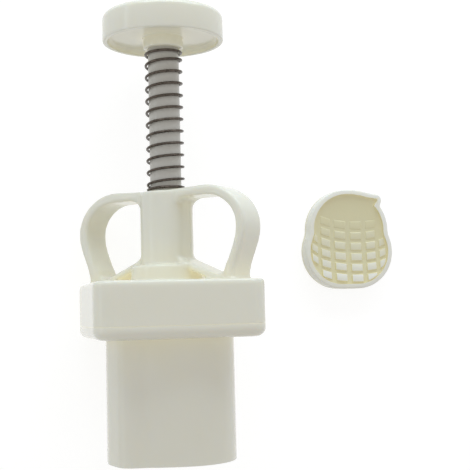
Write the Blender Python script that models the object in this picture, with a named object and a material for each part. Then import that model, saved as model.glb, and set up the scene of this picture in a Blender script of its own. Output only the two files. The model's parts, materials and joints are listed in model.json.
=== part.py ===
"""A hand-press mooncake mould lying on a table, on its flange and one finger loop, with its stamp plate.

Lengths are in metres and +Z is up. The mould is modelled upright, with the plunger's axis along local Z and
local Z = 0 at the middle of the cover's side. The empty mould_axis then lays it down, so that local Z points
towards +Y and dips until the lower finger loop touches the table. The stamp plate lies beside it, face up.
The origin is on the table, under the middle of the whole.
"""

import math

import bmesh
import bpy
from mathutils import Vector

# Clearances
MESH_GAP = 0.0003
RUNNING_CLEARANCE = 0.00035
BARREL_CLEARANCE = 0.0004
SCREW_CLEARANCE = 0.0003

# Cover, whose square flange carries the mould on one of its flat sides
FLANGE_SIDE = 0.067
FLANGE_CORNER = 0.008
COVER_HEIGHT = 0.0172
COVER_WALL = 0.003
COVER_TOP_WALL = 0.003
COVER_EDGE_RADIUS = 0.0014

# Neck that guides the rod, with the collar round its foot
NECK_DIAMETER = 0.0216
NECK_HEIGHT = 0.0368
NECK_EDGE = 0.0006
COLLAR_FOOT_DIAMETER = 0.0304
COLLAR_TOP_DIAMETER = 0.0292
COLLAR_HEIGHT = 0.0067
GUIDE_TUBE_DIAMETER = 0.0195

# Finger loops, which stand on a diagonal of the flange, their feet at an inset from its square corner
LOOP_TURN = -45
LOOP_FOOT_INSET = 0.0121
LOOP_SWELL = 0.0055
LOOP_CREST_REACH = 0.022
LOOP_CREST_HEIGHT = 0.0377
LOOP_WIDEST_HEIGHT = 0.0209
LOOP_WIDTH = 0.0138
LOOP_SIDE_THICKNESS = 0.0042
LOOP_TOP_THICKNESS = 0.004
LOOP_EDGE = 0.0009
LOOP_FILLET = 0.0035
STRUT_NECK_HEIGHT = 0.0088
STRUT_FOOT_HEIGHT = 0.002
STRUT_FOOT_RUN = 0.0041
STRUT_GAP_RUN = 0.0075
STRUT_THICKNESS = 0.0027

# Barrel, with the base plate that closes the cover
BASE_PLATE_THICKNESS = 0.005
BASE_PLATE_EDGE_RADIUS = 0.0038
BARREL_DEPTH = 0.0488
BARREL_WALL = 0.0025
BARREL_UPSTAND = 0.012
BARREL_MOUTH_EDGE = 0.0005
LIP_HEIGHT = 0.002
LIP_WALL = 0.0016

# Screws that hold the base plate to the posts inside the cover
POST_REACH = 0.025
POST_DIAMETER = 0.0066
SCREW_SHANK_DIAMETER = 0.0028
SCREW_LENGTH = 0.0115
SCREW_HEAD_DIAMETER = 0.0052
SCREW_HEAD_HEIGHT = 0.0019
SCREW_HEAD_EDGE = 0.0004
SCREW_RECESS_DEPTH = 0.001
SCREW_RECESS_WIDTH = 0.0007
SCREW_RECESS_SHARE = 0.6

# Plunger
STROKE = 0.040
ROD_DIAMETER = 0.0125
ROD_BORE_DIAMETER = 0.0085
ROD_END_WALL = 0.013
CARRIER_HEIGHT = 0.005
CARRIER_SOCKET_DEPTH = 0.002
PEG_SPACING = 0.024
PEG_DIAMETER = 0.0056
PEG_HEIGHT = 0.003
WASHER_DIAMETER = 0.0105
WASHER_THICKNESS = 0.0008
ROD_SCREW_SHANK_DIAMETER = 0.0034
ROD_SCREW_LENGTH = 0.0125
ROD_SCREW_HEAD_DIAMETER = 0.0075
ROD_SCREW_HEAD_HEIGHT = 0.002

# Knob
KNOB_DIAMETER = 0.050
KNOB_HEIGHT = 0.0118
KNOB_EDGE_RADIUS = 0.0028
KNOB_RIM_EDGE = 0.0007
KNOB_WALL = 0.002
KNOB_RECESS_DEPTH = 0.0022
KNOB_HUB_DIAMETER = 0.0164
KNOB_HUB_DROP = 0.0028
KNOB_SOCKET_DEPTH = 0.0078
KNOB_SOCKET_WEB = 0.0014
KNOB_CAP_DIAMETER = 0.030
KNOB_CAP_THICKNESS = 0.0012
KNOB_CAP_LEDGE = 0.0016

# Return spring
SPRING_LENGTH = 0.0598
SPRING_WIRE_DIAMETER = 0.0011
SPRING_DIAMETER = 0.0158
SPRING_OPEN_TURNS = 11
SPRING_CLOSED_TURNS = 1
SPRING_CLOSED_PITCH = 0.00165
SPRING_LEAD = 0.00165
SPRING_POINTS_PER_TURN = 10

# Peanut outline shared by the stamp plate, the carrier and the barrel: three rounded bars, each two ends
# and a radius, in the plate's own frame with its cap towards +Y
LOWER_LOBE_RADIUS = 0.0171
LOWER_LOBE_HALF_BAR = 0.0038
LOWER_LOBE_PLACE = -0.0056
UPPER_LOBE_RADIUS = 0.0184
UPPER_LOBE_HALF_BAR = 0.0006
UPPER_LOBE_PLACE = 0.0043
CAP_RADIUS = 0.0029
CAP_START = (0.0056, 0.0189)
CAP_TIP = (0.0134, 0.0177)
LOBE_BLEND = 0.0012
OUTLINE_STEPS = 84

# Stamp plate
STAMP_HEIGHT = 0.007
STAMP_PLACE = (0.0894, 0.0274)
STAMP_SKIRT = 0.0016
STAMP_HOLLOW = 0.0037
STAMP_RIM = 0.0019
STAMP_DISH_DEPTH = 0.0016
STAMP_EDGE = 0.0004
STAMP_SOCKET_WALL = 0.0014
NET_ROWS = 6
NET_COLUMNS = 6
NET_PITCH = 0.00485
NET_START = -0.0204
NET_HALF_WIDTH = 0.0185
NET_BULGE = 0.5
NET_BOW = 0.0042
NET_LEAN = 0.0014
NET_BLOCK_SHARE = 0.74
NET_BLOCK_HEIGHT = 0.0009
NET_BLOCK_FADE = 0.12
NET_BLOCK_TAPER = 0.8
NET_MARGIN = 0.003
NET_LEAST_INSET = 0.0044

# Steps in which round shapes are drawn, and the angle from which an edge stays sharp
ROUND_STEPS = 40
SCREW_STEPS = 14
CORNER_STEPS = 6
EDGE_STEPS = 4
BASE_PLATE_EDGE_STEPS = 5
LOOP_CREST_STEPS = 10
LOOP_FOOT_STEPS = 7
LOOP_FILLET_STEPS = 4
SHARP_ANGLE = 35

# Search for places where outlines or pieces meet
SEARCH_TOLERANCE = 1e-9
STEEPEST_TILT = 10

# Places worked out from the sizes, in the upright frame
COVER_TOP = COVER_HEIGHT / 2
COVER_RIM = -COVER_HEIGHT / 2
COVER_CEILING = COVER_TOP - COVER_TOP_WALL
PLATE_TOP = COVER_RIM - MESH_GAP
PLATE_BOTTOM = PLATE_TOP - BASE_PLATE_THICKNESS
BARREL_MOUTH = PLATE_BOTTOM - BARREL_DEPTH
NECK_TOP = COVER_TOP + NECK_HEIGHT
CARRIER_BOTTOM = BARREL_MOUTH + STROKE + STAMP_HEIGHT + MESH_GAP
CARRIER_TOP = CARRIER_BOTTOM + CARRIER_HEIGHT
GUIDE_TUBE_END = CARRIER_TOP + MESH_GAP
ROD_BOTTOM = CARRIER_TOP - CARRIER_SOCKET_DEPTH + MESH_GAP
HUB_END = NECK_TOP + SPRING_LENGTH
KNOB_RIM = HUB_END + KNOB_HUB_DROP
KNOB_TOP = KNOB_RIM + KNOB_HEIGHT
SOCKET_END = HUB_END + KNOB_SOCKET_DEPTH
ROD_TOP = SOCKET_END - MESH_GAP
INNER_HALF = FLANGE_SIDE / 2 - COVER_WALL
LOOP_FOOT_REACH = FLANGE_SIDE * math.sqrt(0.5) - LOOP_FOOT_INSET
LOOP_REACH = LOOP_FOOT_REACH + LOOP_SWELL
STRUT_FOOT_REACH = LOOP_FOOT_REACH - LOOP_SIDE_THICKNESS - STRUT_FOOT_RUN
STRUT_GAP_REACH = LOOP_FOOT_REACH - LOOP_SIDE_THICKNESS - STRUT_GAP_RUN


def clear_scene():
    for old in list(bpy.data.objects):
        bpy.data.objects.remove(old)


def make_material(name, colour, roughness, metallic=0.0):
    result = bpy.data.materials.new(name)
    result.use_nodes = True
    shader = result.node_tree.nodes["Principled BSDF"]
    shader.inputs["Base Color"].default_value = (*colour, 1)
    shader.inputs["Roughness"].default_value = roughness
    shader.inputs["Metallic"].default_value = metallic
    return result


def make_empty(name, parent=None):
    empty = bpy.data.objects.new(name, None)
    empty.parent = parent
    bpy.context.scene.collection.objects.link(empty)
    return empty


def finish_mesh(name, shape, parent, finish):
    """Turns a bmesh into a named object, its faces pointing out and its round sides smooth."""
    bmesh.ops.remove_doubles(shape, verts=shape.verts, dist=1e-6)
    bmesh.ops.recalc_face_normals(shape, faces=shape.faces)
    mesh = bpy.data.meshes.new(name)
    shape.to_mesh(mesh)
    shape.free()
    mesh.shade_smooth()
    mesh.set_sharp_from_angle(angle=math.radians(SHARP_ANGLE))
    result = bpy.data.objects.new(name, mesh)
    result.parent = parent
    if finish:
        mesh.materials.append(finish)
    bpy.context.scene.collection.objects.link(result)
    return result


def as_cutter(shape_object):
    shape_object.hide_render = True
    shape_object.display_type = "WIRE"
    return shape_object


def combine(target, operation, operand):
    """Adds a Boolean that joins the operand to the target or cuts it out."""
    boolean = target.modifiers.new(operation.title() + " " + operand.name, "BOOLEAN")
    boolean.operation = operation
    boolean.solver = "EXACT"
    boolean.object = as_cutter(operand)


def add_loft(shape, rings):
    """Closed skin through rings of equal point counts, capped at both ends."""
    rows = [[shape.verts.new(point) for point in ring] for ring in rings]
    for lower, upper in zip(rows, rows[1:]):
        for index in range(len(lower)):
            following = (index + 1) % len(lower)
            shape.faces.new((lower[index], lower[following], upper[following], upper[index]))
    shape.faces.new(list(reversed(rows[0])))
    shape.faces.new(rows[-1])


def loft(name, rings, parent, finish=None):
    shape = bmesh.new()
    add_loft(shape, rings)
    return finish_mesh(name, shape, parent, finish)


def turned(name, profile, parent, finish=None, steps=ROUND_STEPS, places=((0, 0),)):
    """Solids of revolution about local Z, from (radius, height) points, one at each place in plan."""
    shape = bmesh.new()
    for across, back in places:
        ends = [shape.verts.new((radius, 0, height)) for radius, height in profile]
        edges = [shape.edges.new(pair) for pair in zip(ends, ends[1:])]
        if profile[0][0] > 0 or profile[-1][0] > 0:
            edges.append(shape.edges.new((ends[-1], ends[0])))
        bmesh.ops.spin(
            shape, geom=ends + edges, cent=(0, 0, 0), axis=(0, 0, 1), dvec=(0, 0, 0),
            angle=math.tau, steps=steps, use_merge=False,
        )
        fresh = [vert for vert in shape.verts if not vert.tag]
        bmesh.ops.translate(shape, verts=fresh, vec=(across, back, 0))
        for vert in fresh:
            vert.tag = True
    return finish_mesh(name, shape, parent, finish)


def raised(outline, height):
    return [Vector((across, back, height)) for across, back in outline]


def rounded_square(side, corner):
    """Outline of a square with round corners, centred on the axis."""
    points = []
    centre = side / 2 - corner
    for quarter in range(4):
        for step in range(CORNER_STEPS + 1):
            angle = math.radians(90 * (quarter + step / CORNER_STEPS))
            middle = math.radians(90 * quarter + 45)
            points.append((
                centre * math.sqrt(2) * math.cos(middle) + corner * math.cos(angle),
                centre * math.sqrt(2) * math.sin(middle) + corner * math.sin(angle),
            ))
    return points


def bar_distance(point, start, end, radius):
    """Distance from a point to a bar with round ends, below zero inside it."""
    along = Vector(end) - Vector(start)
    share = (Vector(point) - Vector(start)).dot(along) / along.length_squared
    nearest = Vector(start) + along * min(max(share, 0), 1)
    return (Vector(point) - nearest).length - radius


def blended_least(first, second, blend):
    """Lesser of two distances, made a little less where they are alike, which fills an inner corner."""
    likeness = max(blend - abs(first - second), 0) / blend
    return min(first, second) - likeness * likeness * blend / 4


def peanut_distance(point, blend=LOBE_BLEND):
    """Distance from a point to the peanut outline, below zero inside it."""
    lower = ((-LOWER_LOBE_HALF_BAR, LOWER_LOBE_PLACE), (LOWER_LOBE_HALF_BAR, LOWER_LOBE_PLACE), LOWER_LOBE_RADIUS)
    upper = ((-UPPER_LOBE_HALF_BAR, UPPER_LOBE_PLACE), (UPPER_LOBE_HALF_BAR, UPPER_LOBE_PLACE), UPPER_LOBE_RADIUS)
    shell = blended_least(bar_distance(point, *lower), bar_distance(point, *upper), blend)
    return blended_least(shell, bar_distance(point, CAP_START, CAP_TIP, CAP_RADIUS), blend)


def last_true(test, low, high):
    """Largest value between two bounds for which a test holds, if it holds up to there and not beyond."""
    while high - low > SEARCH_TOLERANCE:
        middle = (low + high) / 2
        if test(middle):
            low = middle
        else:
            high = middle
    return low


def peanut(offset=0.0):
    """Outline of the stamp plate, grown by an offset with wider fillets, found along rays from its middle."""
    blend = LOBE_BLEND + max(offset, 0)
    points = []
    for step in range(OUTLINE_STEPS):
        angle = math.tau * step / OUTLINE_STEPS
        ray = Vector((math.cos(angle), math.sin(angle)))
        reach = last_true(lambda length: peanut_distance(ray * length, blend) < offset, 0, FLANGE_SIDE)
        points.append(tuple(ray * reach))
    return points


def peanut_in_barrel(offset=0.0):
    """The same outline turned as the barrel holds it: cap to the left, notch to the front."""
    return [(-up, -across) for across, up in peanut(offset)]


def crest_arc(side, crest):
    """Quarter of an ellipse from a loop's crest out to its widest height, as (reach, height) points."""
    widest = COVER_TOP + LOOP_WIDEST_HEIGHT
    points = []
    for step in range(LOOP_CREST_STEPS + 1):
        angle = math.pi / 2 * step / LOOP_CREST_STEPS
        points.append((
            LOOP_CREST_REACH + (side - LOOP_CREST_REACH) * math.sin(angle),
            widest + (crest - widest) * math.cos(angle),
        ))
    return points


def foot_sweep(side, foot):
    """Eased line from a loop's widest height in to its foot, as (reach, height) points."""
    widest = COVER_TOP + LOOP_WIDEST_HEIGHT
    points = []
    for step in range(1, LOOP_FOOT_STEPS + 1):
        share = step / LOOP_FOOT_STEPS
        points.append((
            foot + (side - foot) * (1 + math.cos(math.pi * share)) / 2,
            widest + (COVER_TOP - widest) * share,
        ))
    return points


def loop_outer_curve():
    """Outer line of a finger loop: from the neck over the crest, out to the side, in to the foot."""
    crest = COVER_TOP + LOOP_CREST_HEIGHT
    return [(0, crest - LOOP_EDGE)] + crest_arc(LOOP_REACH, crest) + foot_sweep(LOOP_REACH, LOOP_FOOT_REACH)


def loop_inner_curve():
    """Inner line of a finger loop, from its foot up and over towards the neck."""
    side = LOOP_REACH - LOOP_SIDE_THICKNESS
    foot = LOOP_FOOT_REACH - LOOP_SIDE_THICKNESS
    ceiling = COVER_TOP + LOOP_CREST_HEIGHT - LOOP_TOP_THICKNESS
    outward = crest_arc(side, ceiling) + foot_sweep(side, foot)
    return outward[::-1]


def rounded_corner(before, corner, after, radius):
    """Arc that rounds a corner between two straight sides, as (reach, height) points."""
    tip = Vector(corner)
    one = (Vector(before) - tip).normalized()
    other = (Vector(after) - tip).normalized()
    half = one.angle(other) / 2
    centre = tip + (one + other).normalized() * radius / math.sin(half)
    start = tip + one * radius / math.tan(half) - centre
    end = tip + other * radius / math.tan(half) - centre
    points = []
    for step in range(LOOP_FILLET_STEPS + 1):
        spoke = start.slerp(end, step / LOOP_FILLET_STEPS).normalized() * radius
        points.append(tuple(centre + spoke))
    return points


def reach_inside_neck():
    """Reach at which a loop's whole width is inside the round neck, so that its fillets end hidden."""
    half_neck = NECK_DIAMETER / 2
    half_width = min(LOOP_WIDTH / 2, half_neck)
    return max(math.sqrt(half_neck ** 2 - half_width ** 2) - LOOP_EDGE, 0)


def loop_band():
    """Closed outline of the band of a finger loop, its ends inside the neck and the cover's top wall."""
    buried = COVER_TOP - COVER_TOP_WALL / 2
    neck = reach_inside_neck()
    fillet = LOOP_FILLET + NECK_DIAMETER / 2 - neck
    ceiling = COVER_TOP + LOOP_CREST_HEIGHT - LOOP_TOP_THICKNESS
    under = ceiling - fillet
    return (
        loop_outer_curve()
        + [(LOOP_FOOT_REACH, buried), (LOOP_FOOT_REACH - LOOP_SIDE_THICKNESS, buried)]
        + loop_inner_curve()
        + rounded_corner((LOOP_CREST_REACH, ceiling), (neck, ceiling), (neck, under), fillet)
        + [(0, under)]
    )


def loop_strut():
    """Closed outline of the strut from the neck's foot to the loop's foot, with a fillet at both ends."""
    neck = reach_inside_neck()
    inside = NECK_DIAMETER / 2 - neck
    side = LOOP_FOOT_REACH - LOOP_SIDE_THICKNESS
    buried = COVER_TOP - COVER_TOP_WALL / 2
    foot = COVER_TOP + STRUT_FOOT_HEIGHT
    fall = (STRUT_NECK_HEIGHT - STRUT_FOOT_HEIGHT) / (STRUT_FOOT_REACH - NECK_DIAMETER / 2)
    start = COVER_TOP + STRUT_NECK_HEIGHT + fall * inside
    up_side = foot + 2 * LOOP_FILLET
    at_neck = rounded_corner((neck, NECK_TOP), (neck, start), (STRUT_FOOT_REACH, foot), LOOP_FILLET + inside)
    at_foot = rounded_corner((STRUT_FOOT_REACH, foot), (side, foot), (side, up_side), LOOP_FILLET)
    return (
        [(0, at_neck[0][1])]
        + at_neck
        + [(STRUT_FOOT_REACH, foot)]
        + at_foot
        + [(side + LOOP_SIDE_THICKNESS / 2, up_side), (LOOP_FOOT_REACH - LOOP_EDGE, up_side)]
        + [(LOOP_FOOT_REACH - LOOP_EDGE, buried), (STRUT_GAP_REACH, buried), (STRUT_GAP_REACH, COVER_TOP)]
        + [(neck, start - STRUT_THICKNESS), (0, start - STRUT_THICKNESS)]
    )


def standing_slab(name, outline, width, turn, parent):
    """Slab cut to a (reach, height) outline, centred on a plane through the axis, its rims rounded."""
    shape = bmesh.new()
    front = shape.faces.new([shape.verts.new((reach, -width / 2, height)) for reach, height in outline])
    pushed = bmesh.ops.extrude_face_region(shape, geom=[front])
    moved = [item for item in pushed["geom"] if isinstance(item, bmesh.types.BMVert)]
    bmesh.ops.translate(shape, verts=moved, vec=(0, width, 0))
    rims = [edge for edge in shape.edges if abs(edge.verts[0].co.y - edge.verts[1].co.y) < width / 2]
    bmesh.ops.recalc_face_normals(shape, faces=shape.faces)
    bmesh.ops.bevel(
        shape, geom=rims, offset=LOOP_EDGE, segments=2, profile=0.5, affect="EDGES", clamp_overlap=True,
    )
    result = finish_mesh(name, shape, parent, None)
    result.rotation_euler.z = math.radians(turn)
    return result


def corner_places(reach):
    return [(side * reach, back * reach) for side in (-1, 1) for back in (-1, 1)]


def make_handle_body(parent, plastic):
    """Cover with its square flange, neck, collar, guide tube, finger loops and screw posts."""
    outer = [(FLANGE_SIDE, COVER_RIM), (FLANGE_SIDE, COVER_TOP - COVER_EDGE_RADIUS)]
    rings = [
        raised(rounded_square(INNER_HALF * 2, FLANGE_CORNER - COVER_WALL), COVER_CEILING),
        raised(rounded_square(INNER_HALF * 2, FLANGE_CORNER - COVER_WALL), COVER_RIM),
    ]
    rings += [raised(rounded_square(side, FLANGE_CORNER), height) for side, height in outer]
    for step in range(1, EDGE_STEPS + 1):
        angle = math.pi / 2 * step / EDGE_STEPS
        inset = COVER_EDGE_RADIUS * (1 - math.cos(angle))
        rings.append(raised(
            rounded_square(FLANGE_SIDE - 2 * inset, FLANGE_CORNER - inset),
            COVER_TOP - COVER_EDGE_RADIUS * (1 - math.sin(angle)),
        ))
    body = loft("handle_body", rings, parent, plastic)

    neck = NECK_DIAMETER / 2
    core = turned("core", [
        (0, NECK_TOP),
        (neck - NECK_EDGE, NECK_TOP),
        (neck, NECK_TOP - NECK_EDGE),
        (neck, COVER_TOP + COLLAR_HEIGHT),
        (COLLAR_TOP_DIAMETER / 2 - NECK_EDGE, COVER_TOP + COLLAR_HEIGHT),
        (COLLAR_TOP_DIAMETER / 2, COVER_TOP + COLLAR_HEIGHT - NECK_EDGE),
        (COLLAR_FOOT_DIAMETER / 2, COVER_TOP - COVER_TOP_WALL / 2),
        (GUIDE_TUBE_DIAMETER / 2, COVER_TOP - COVER_TOP_WALL / 2),
        (GUIDE_TUBE_DIAMETER / 2, GUIDE_TUBE_END),
        (0, GUIDE_TUBE_END),
    ], parent)
    combine(body, "UNION", core)
    for index, turn in enumerate((LOOP_TURN, LOOP_TURN + 180)):
        combine(body, "UNION", standing_slab(f"loop_band_{index}", loop_band(), LOOP_WIDTH, turn, parent))
        strut = standing_slab(f"loop_strut_{index}", loop_strut(), LOOP_WIDTH - LOOP_EDGE, turn, parent)
        combine(body, "UNION", strut)

    posts = turned("posts", [
        (0, COVER_TOP - COVER_TOP_WALL / 2),
        (POST_DIAMETER / 2, COVER_TOP - COVER_TOP_WALL / 2),
        (POST_DIAMETER / 2, COVER_RIM),
        (0, COVER_RIM),
    ], parent, steps=SCREW_STEPS, places=corner_places(POST_REACH))
    combine(body, "UNION", posts)

    pilot = SCREW_SHANK_DIAMETER / 2 + SCREW_CLEARANCE
    pilots = turned("pilot_holes", [
        (0, screw_head_seat() + SCREW_LENGTH + SCREW_CLEARANCE),
        (pilot, screw_head_seat() + SCREW_LENGTH + SCREW_CLEARANCE),
        (pilot, COVER_RIM - LIP_HEIGHT),
        (0, COVER_RIM - LIP_HEIGHT),
    ], parent, steps=SCREW_STEPS, places=corner_places(POST_REACH))
    combine(body, "DIFFERENCE", pilots)
    bore = ROD_DIAMETER / 2 + RUNNING_CLEARANCE
    combine(body, "DIFFERENCE", turned("rod_bore", [
        (0, NECK_TOP + COVER_WALL),
        (bore, NECK_TOP + COVER_WALL),
        (bore, GUIDE_TUBE_END - COVER_WALL),
        (0, GUIDE_TUBE_END - COVER_WALL),
    ], parent))
    return body


def screw_head_seat():
    """Height at which the heads of the base plate's screws bear."""
    return PLATE_BOTTOM + SCREW_HEAD_HEIGHT + SCREW_CLEARANCE + MESH_GAP


def make_barrel(parent, plastic):
    """Peanut-shaped barrel, with the base plate that closes the cover and a lip that centres it there."""
    rings = []
    for step in range(BASE_PLATE_EDGE_STEPS + 1):
        angle = math.pi / 2 * step / BASE_PLATE_EDGE_STEPS
        inset = BASE_PLATE_EDGE_RADIUS * (1 - math.sin(angle))
        rings.append(raised(
            rounded_square(FLANGE_SIDE - 2 * inset, FLANGE_CORNER - inset),
            PLATE_BOTTOM + BASE_PLATE_EDGE_RADIUS * (1 - math.cos(angle)),
        ))
    rings.append(raised(rounded_square(FLANGE_SIDE, FLANGE_CORNER), PLATE_TOP))
    barrel = loft("barrel", rings, parent, plastic)

    lip_side = 2 * (INNER_HALF - MESH_GAP)
    lip_corner = FLANGE_CORNER - COVER_WALL - MESH_GAP
    lip_foot = PLATE_TOP - BASE_PLATE_THICKNESS / 2
    lip = loft("lip", [
        raised(rounded_square(lip_side, lip_corner), lip_foot),
        raised(rounded_square(lip_side, lip_corner), PLATE_TOP + LIP_HEIGHT),
        raised(rounded_square(lip_side - 2 * LIP_WALL, lip_corner - LIP_WALL), PLATE_TOP + LIP_HEIGHT),
        raised(rounded_square(lip_side - 2 * LIP_WALL, lip_corner - LIP_WALL), PLATE_TOP),
    ], parent)
    combine(barrel, "UNION", lip)

    grown = BARREL_CLEARANCE + BARREL_WALL
    tube = loft("barrel_tube", [
        raised(peanut_in_barrel(grown - BARREL_MOUTH_EDGE), BARREL_MOUTH),
        raised(peanut_in_barrel(grown), BARREL_MOUTH + BARREL_MOUTH_EDGE),
        raised(peanut_in_barrel(grown), PLATE_TOP + BARREL_UPSTAND),
    ], parent)
    combine(barrel, "UNION", tube)
    hollow = loft("barrel_hollow", [
        raised(peanut_in_barrel(BARREL_CLEARANCE), BARREL_MOUTH - COVER_WALL),
        raised(peanut_in_barrel(BARREL_CLEARANCE), PLATE_TOP + BARREL_UPSTAND + COVER_WALL),
    ], parent)
    combine(barrel, "DIFFERENCE", hollow)

    hole = SCREW_SHANK_DIAMETER / 2 + SCREW_CLEARANCE
    head = SCREW_HEAD_DIAMETER / 2 + SCREW_CLEARANCE
    holes = turned("screw_holes", [
        (0, PLATE_TOP + LIP_HEIGHT),
        (hole, PLATE_TOP + LIP_HEIGHT),
        (hole, screw_head_seat()),
        (head, screw_head_seat()),
        (head, PLATE_BOTTOM - COVER_WALL),
        (0, PLATE_BOTTOM - COVER_WALL),
    ], parent, steps=SCREW_STEPS, places=corner_places(POST_REACH))
    combine(barrel, "DIFFERENCE", holes)
    return barrel


def make_screw(name, seat, side, sizes, parent, steel):
    """Pan-head screw whose head bears at a height, its shank on the other side of it (side is +1 or -1)."""
    shank, length, head, head_height = sizes
    under = seat - side * MESH_GAP
    over = under - side * head_height
    screw = turned(name, [
        (0, under + side * length),
        (shank / 2 - SCREW_HEAD_EDGE, under + side * length),
        (shank / 2, under + side * (length - SCREW_HEAD_EDGE * 2)),
        (shank / 2, under),
        (head / 2, under),
        (head / 2, over + side * SCREW_HEAD_EDGE * 2),
        (head / 2 - SCREW_HEAD_EDGE, over + side * SCREW_HEAD_EDGE * 0.5),
        (head / 2 - SCREW_HEAD_EDGE * 3, over),
        (0, over),
    ], parent, steel, steps=SCREW_STEPS)
    half = head / 2 * SCREW_RECESS_SHARE
    thin = SCREW_RECESS_WIDTH / 2
    plan = [
        (half, -thin), (half, thin), (thin, thin), (thin, half), (-thin, half), (-thin, thin),
        (-half, thin), (-half, -thin), (-thin, -thin), (-thin, -half), (thin, -half), (thin, -thin),
    ]
    levels = sorted((over - side * SCREW_HEAD_EDGE, over + side * SCREW_RECESS_DEPTH))
    cross = loft(name + "_recess", [raised(plan, level) for level in levels], parent)
    combine(screw, "DIFFERENCE", cross)
    return screw, cross


def make_barrel_screws(parent, steel):
    sizes = (SCREW_SHANK_DIAMETER, SCREW_LENGTH, SCREW_HEAD_DIAMETER, SCREW_HEAD_HEIGHT)
    for index, (across, back) in enumerate(corner_places(POST_REACH), start=1):
        for piece in make_screw(f"barrel_screw_{index}", screw_head_seat(), 1, sizes, parent, steel):
            piece.location = (across, back, 0)


def make_plunger_rod(parent, grey):
    """Tube with a thick wall at each end, where its screws hold."""
    pilot = ROD_SCREW_SHANK_DIAMETER / 2 + SCREW_CLEARANCE
    taper = (ROD_BORE_DIAMETER / 2 - pilot) / 2
    return turned("plunger_rod", [
        (pilot, ROD_TOP),
        (ROD_DIAMETER / 2 - SCREW_HEAD_EDGE, ROD_TOP),
        (ROD_DIAMETER / 2, ROD_TOP - SCREW_HEAD_EDGE),
        (ROD_DIAMETER / 2, ROD_BOTTOM + SCREW_HEAD_EDGE),
        (ROD_DIAMETER / 2 - SCREW_HEAD_EDGE, ROD_BOTTOM),
        (pilot, ROD_BOTTOM),
        (pilot, ROD_BOTTOM + ROD_END_WALL),
        (ROD_BORE_DIAMETER / 2, ROD_BOTTOM + ROD_END_WALL + taper),
        (ROD_BORE_DIAMETER / 2, ROD_TOP - ROD_END_WALL - taper),
        (pilot, ROD_TOP - ROD_END_WALL),
    ], parent, grey)


def make_carrier(parent, plastic):
    """Plate that slides in the barrel, with the rod's socket on top and two pegs for a stamp plate below."""
    carrier = loft("stamp_carrier", [
        raised(peanut_in_barrel(), CARRIER_BOTTOM),
        raised(peanut_in_barrel(), CARRIER_TOP),
    ], parent, plastic)
    combine(carrier, "UNION", turned("pegs", [
        (0, CARRIER_BOTTOM + CARRIER_HEIGHT / 2),
        (PEG_DIAMETER / 2, CARRIER_BOTTOM + CARRIER_HEIGHT / 2),
        (PEG_DIAMETER / 2, CARRIER_BOTTOM - PEG_HEIGHT + STAMP_EDGE),
        (PEG_DIAMETER / 2 - STAMP_EDGE, CARRIER_BOTTOM - PEG_HEIGHT),
        (0, CARRIER_BOTTOM - PEG_HEIGHT),
    ], parent, steps=SCREW_STEPS, places=[(-PEG_SPACING / 2, 0), (PEG_SPACING / 2, 0)]))
    socket = ROD_DIAMETER / 2 + MESH_GAP
    hole = ROD_SCREW_SHANK_DIAMETER / 2 + SCREW_CLEARANCE
    combine(carrier, "DIFFERENCE", turned("carrier_socket", [
        (0, CARRIER_TOP + COVER_WALL),
        (socket, CARRIER_TOP + COVER_WALL),
        (socket, CARRIER_TOP - CARRIER_SOCKET_DEPTH),
        (hole, CARRIER_TOP - CARRIER_SOCKET_DEPTH),
        (hole, CARRIER_BOTTOM - COVER_WALL),
        (0, CARRIER_BOTTOM - COVER_WALL),
    ], parent, steps=ROUND_STEPS))
    return carrier


def make_carrier_fastener(parent, steel):
    washer_top = CARRIER_BOTTOM - MESH_GAP
    hole = ROD_SCREW_SHANK_DIAMETER / 2 + SCREW_CLEARANCE
    turned("carrier_washer", [
        (WASHER_DIAMETER / 2, washer_top),
        (WASHER_DIAMETER / 2, washer_top - WASHER_THICKNESS),
        (hole, washer_top - WASHER_THICKNESS),
        (hole, washer_top),
    ], parent, steel, steps=ROUND_STEPS // 2)
    sizes = (ROD_SCREW_SHANK_DIAMETER, ROD_SCREW_LENGTH, ROD_SCREW_HEAD_DIAMETER, ROD_SCREW_HEAD_HEIGHT)
    make_screw("carrier_screw", washer_top - WASHER_THICKNESS, 1, sizes, parent, steel)


def make_knob(parent, plastic):
    """Hollow knob: side wall, underside with its hub and rod socket, and a top ring with a ledge for the cap."""
    outer = KNOB_DIAMETER / 2
    floor = KNOB_RIM + KNOB_RECESS_DEPTH
    inner = outer - KNOB_WALL
    hub = KNOB_HUB_DIAMETER / 2
    socket = ROD_DIAMETER / 2 + MESH_GAP
    hole = ROD_SCREW_SHANK_DIAMETER / 2 + SCREW_CLEARANCE
    opening = KNOB_CAP_DIAMETER / 2 + MESH_GAP
    ledge = KNOB_TOP - KNOB_CAP_THICKNESS - MESH_GAP
    profile = [(outer, KNOB_TOP - KNOB_EDGE_RADIUS), (outer, KNOB_RIM + KNOB_RIM_EDGE)]
    profile += [(outer - KNOB_RIM_EDGE, KNOB_RIM), (inner, KNOB_RIM), (inner, floor), (hub, floor)]
    profile += [(hub, HUB_END), (socket, HUB_END), (socket, SOCKET_END), (hole, SOCKET_END)]
    profile += [(hole, SOCKET_END + KNOB_SOCKET_WEB), (hub, SOCKET_END + KNOB_SOCKET_WEB)]
    profile += [(hub, floor + KNOB_WALL), (inner, floor + KNOB_WALL), (inner, ledge - KNOB_CAP_LEDGE)]
    profile += [(opening - KNOB_CAP_LEDGE, ledge - KNOB_CAP_LEDGE), (opening - KNOB_CAP_LEDGE, ledge)]
    profile += [(opening, ledge), (opening, KNOB_TOP)]
    for step in range(EDGE_STEPS):
        angle = math.pi / 2 * step / EDGE_STEPS
        profile.append((
            outer - KNOB_EDGE_RADIUS * (1 - math.sin(angle)),
            KNOB_TOP - KNOB_EDGE_RADIUS * (1 - math.cos(angle)),
        ))
    return turned("knob", profile, parent, plastic)


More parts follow.
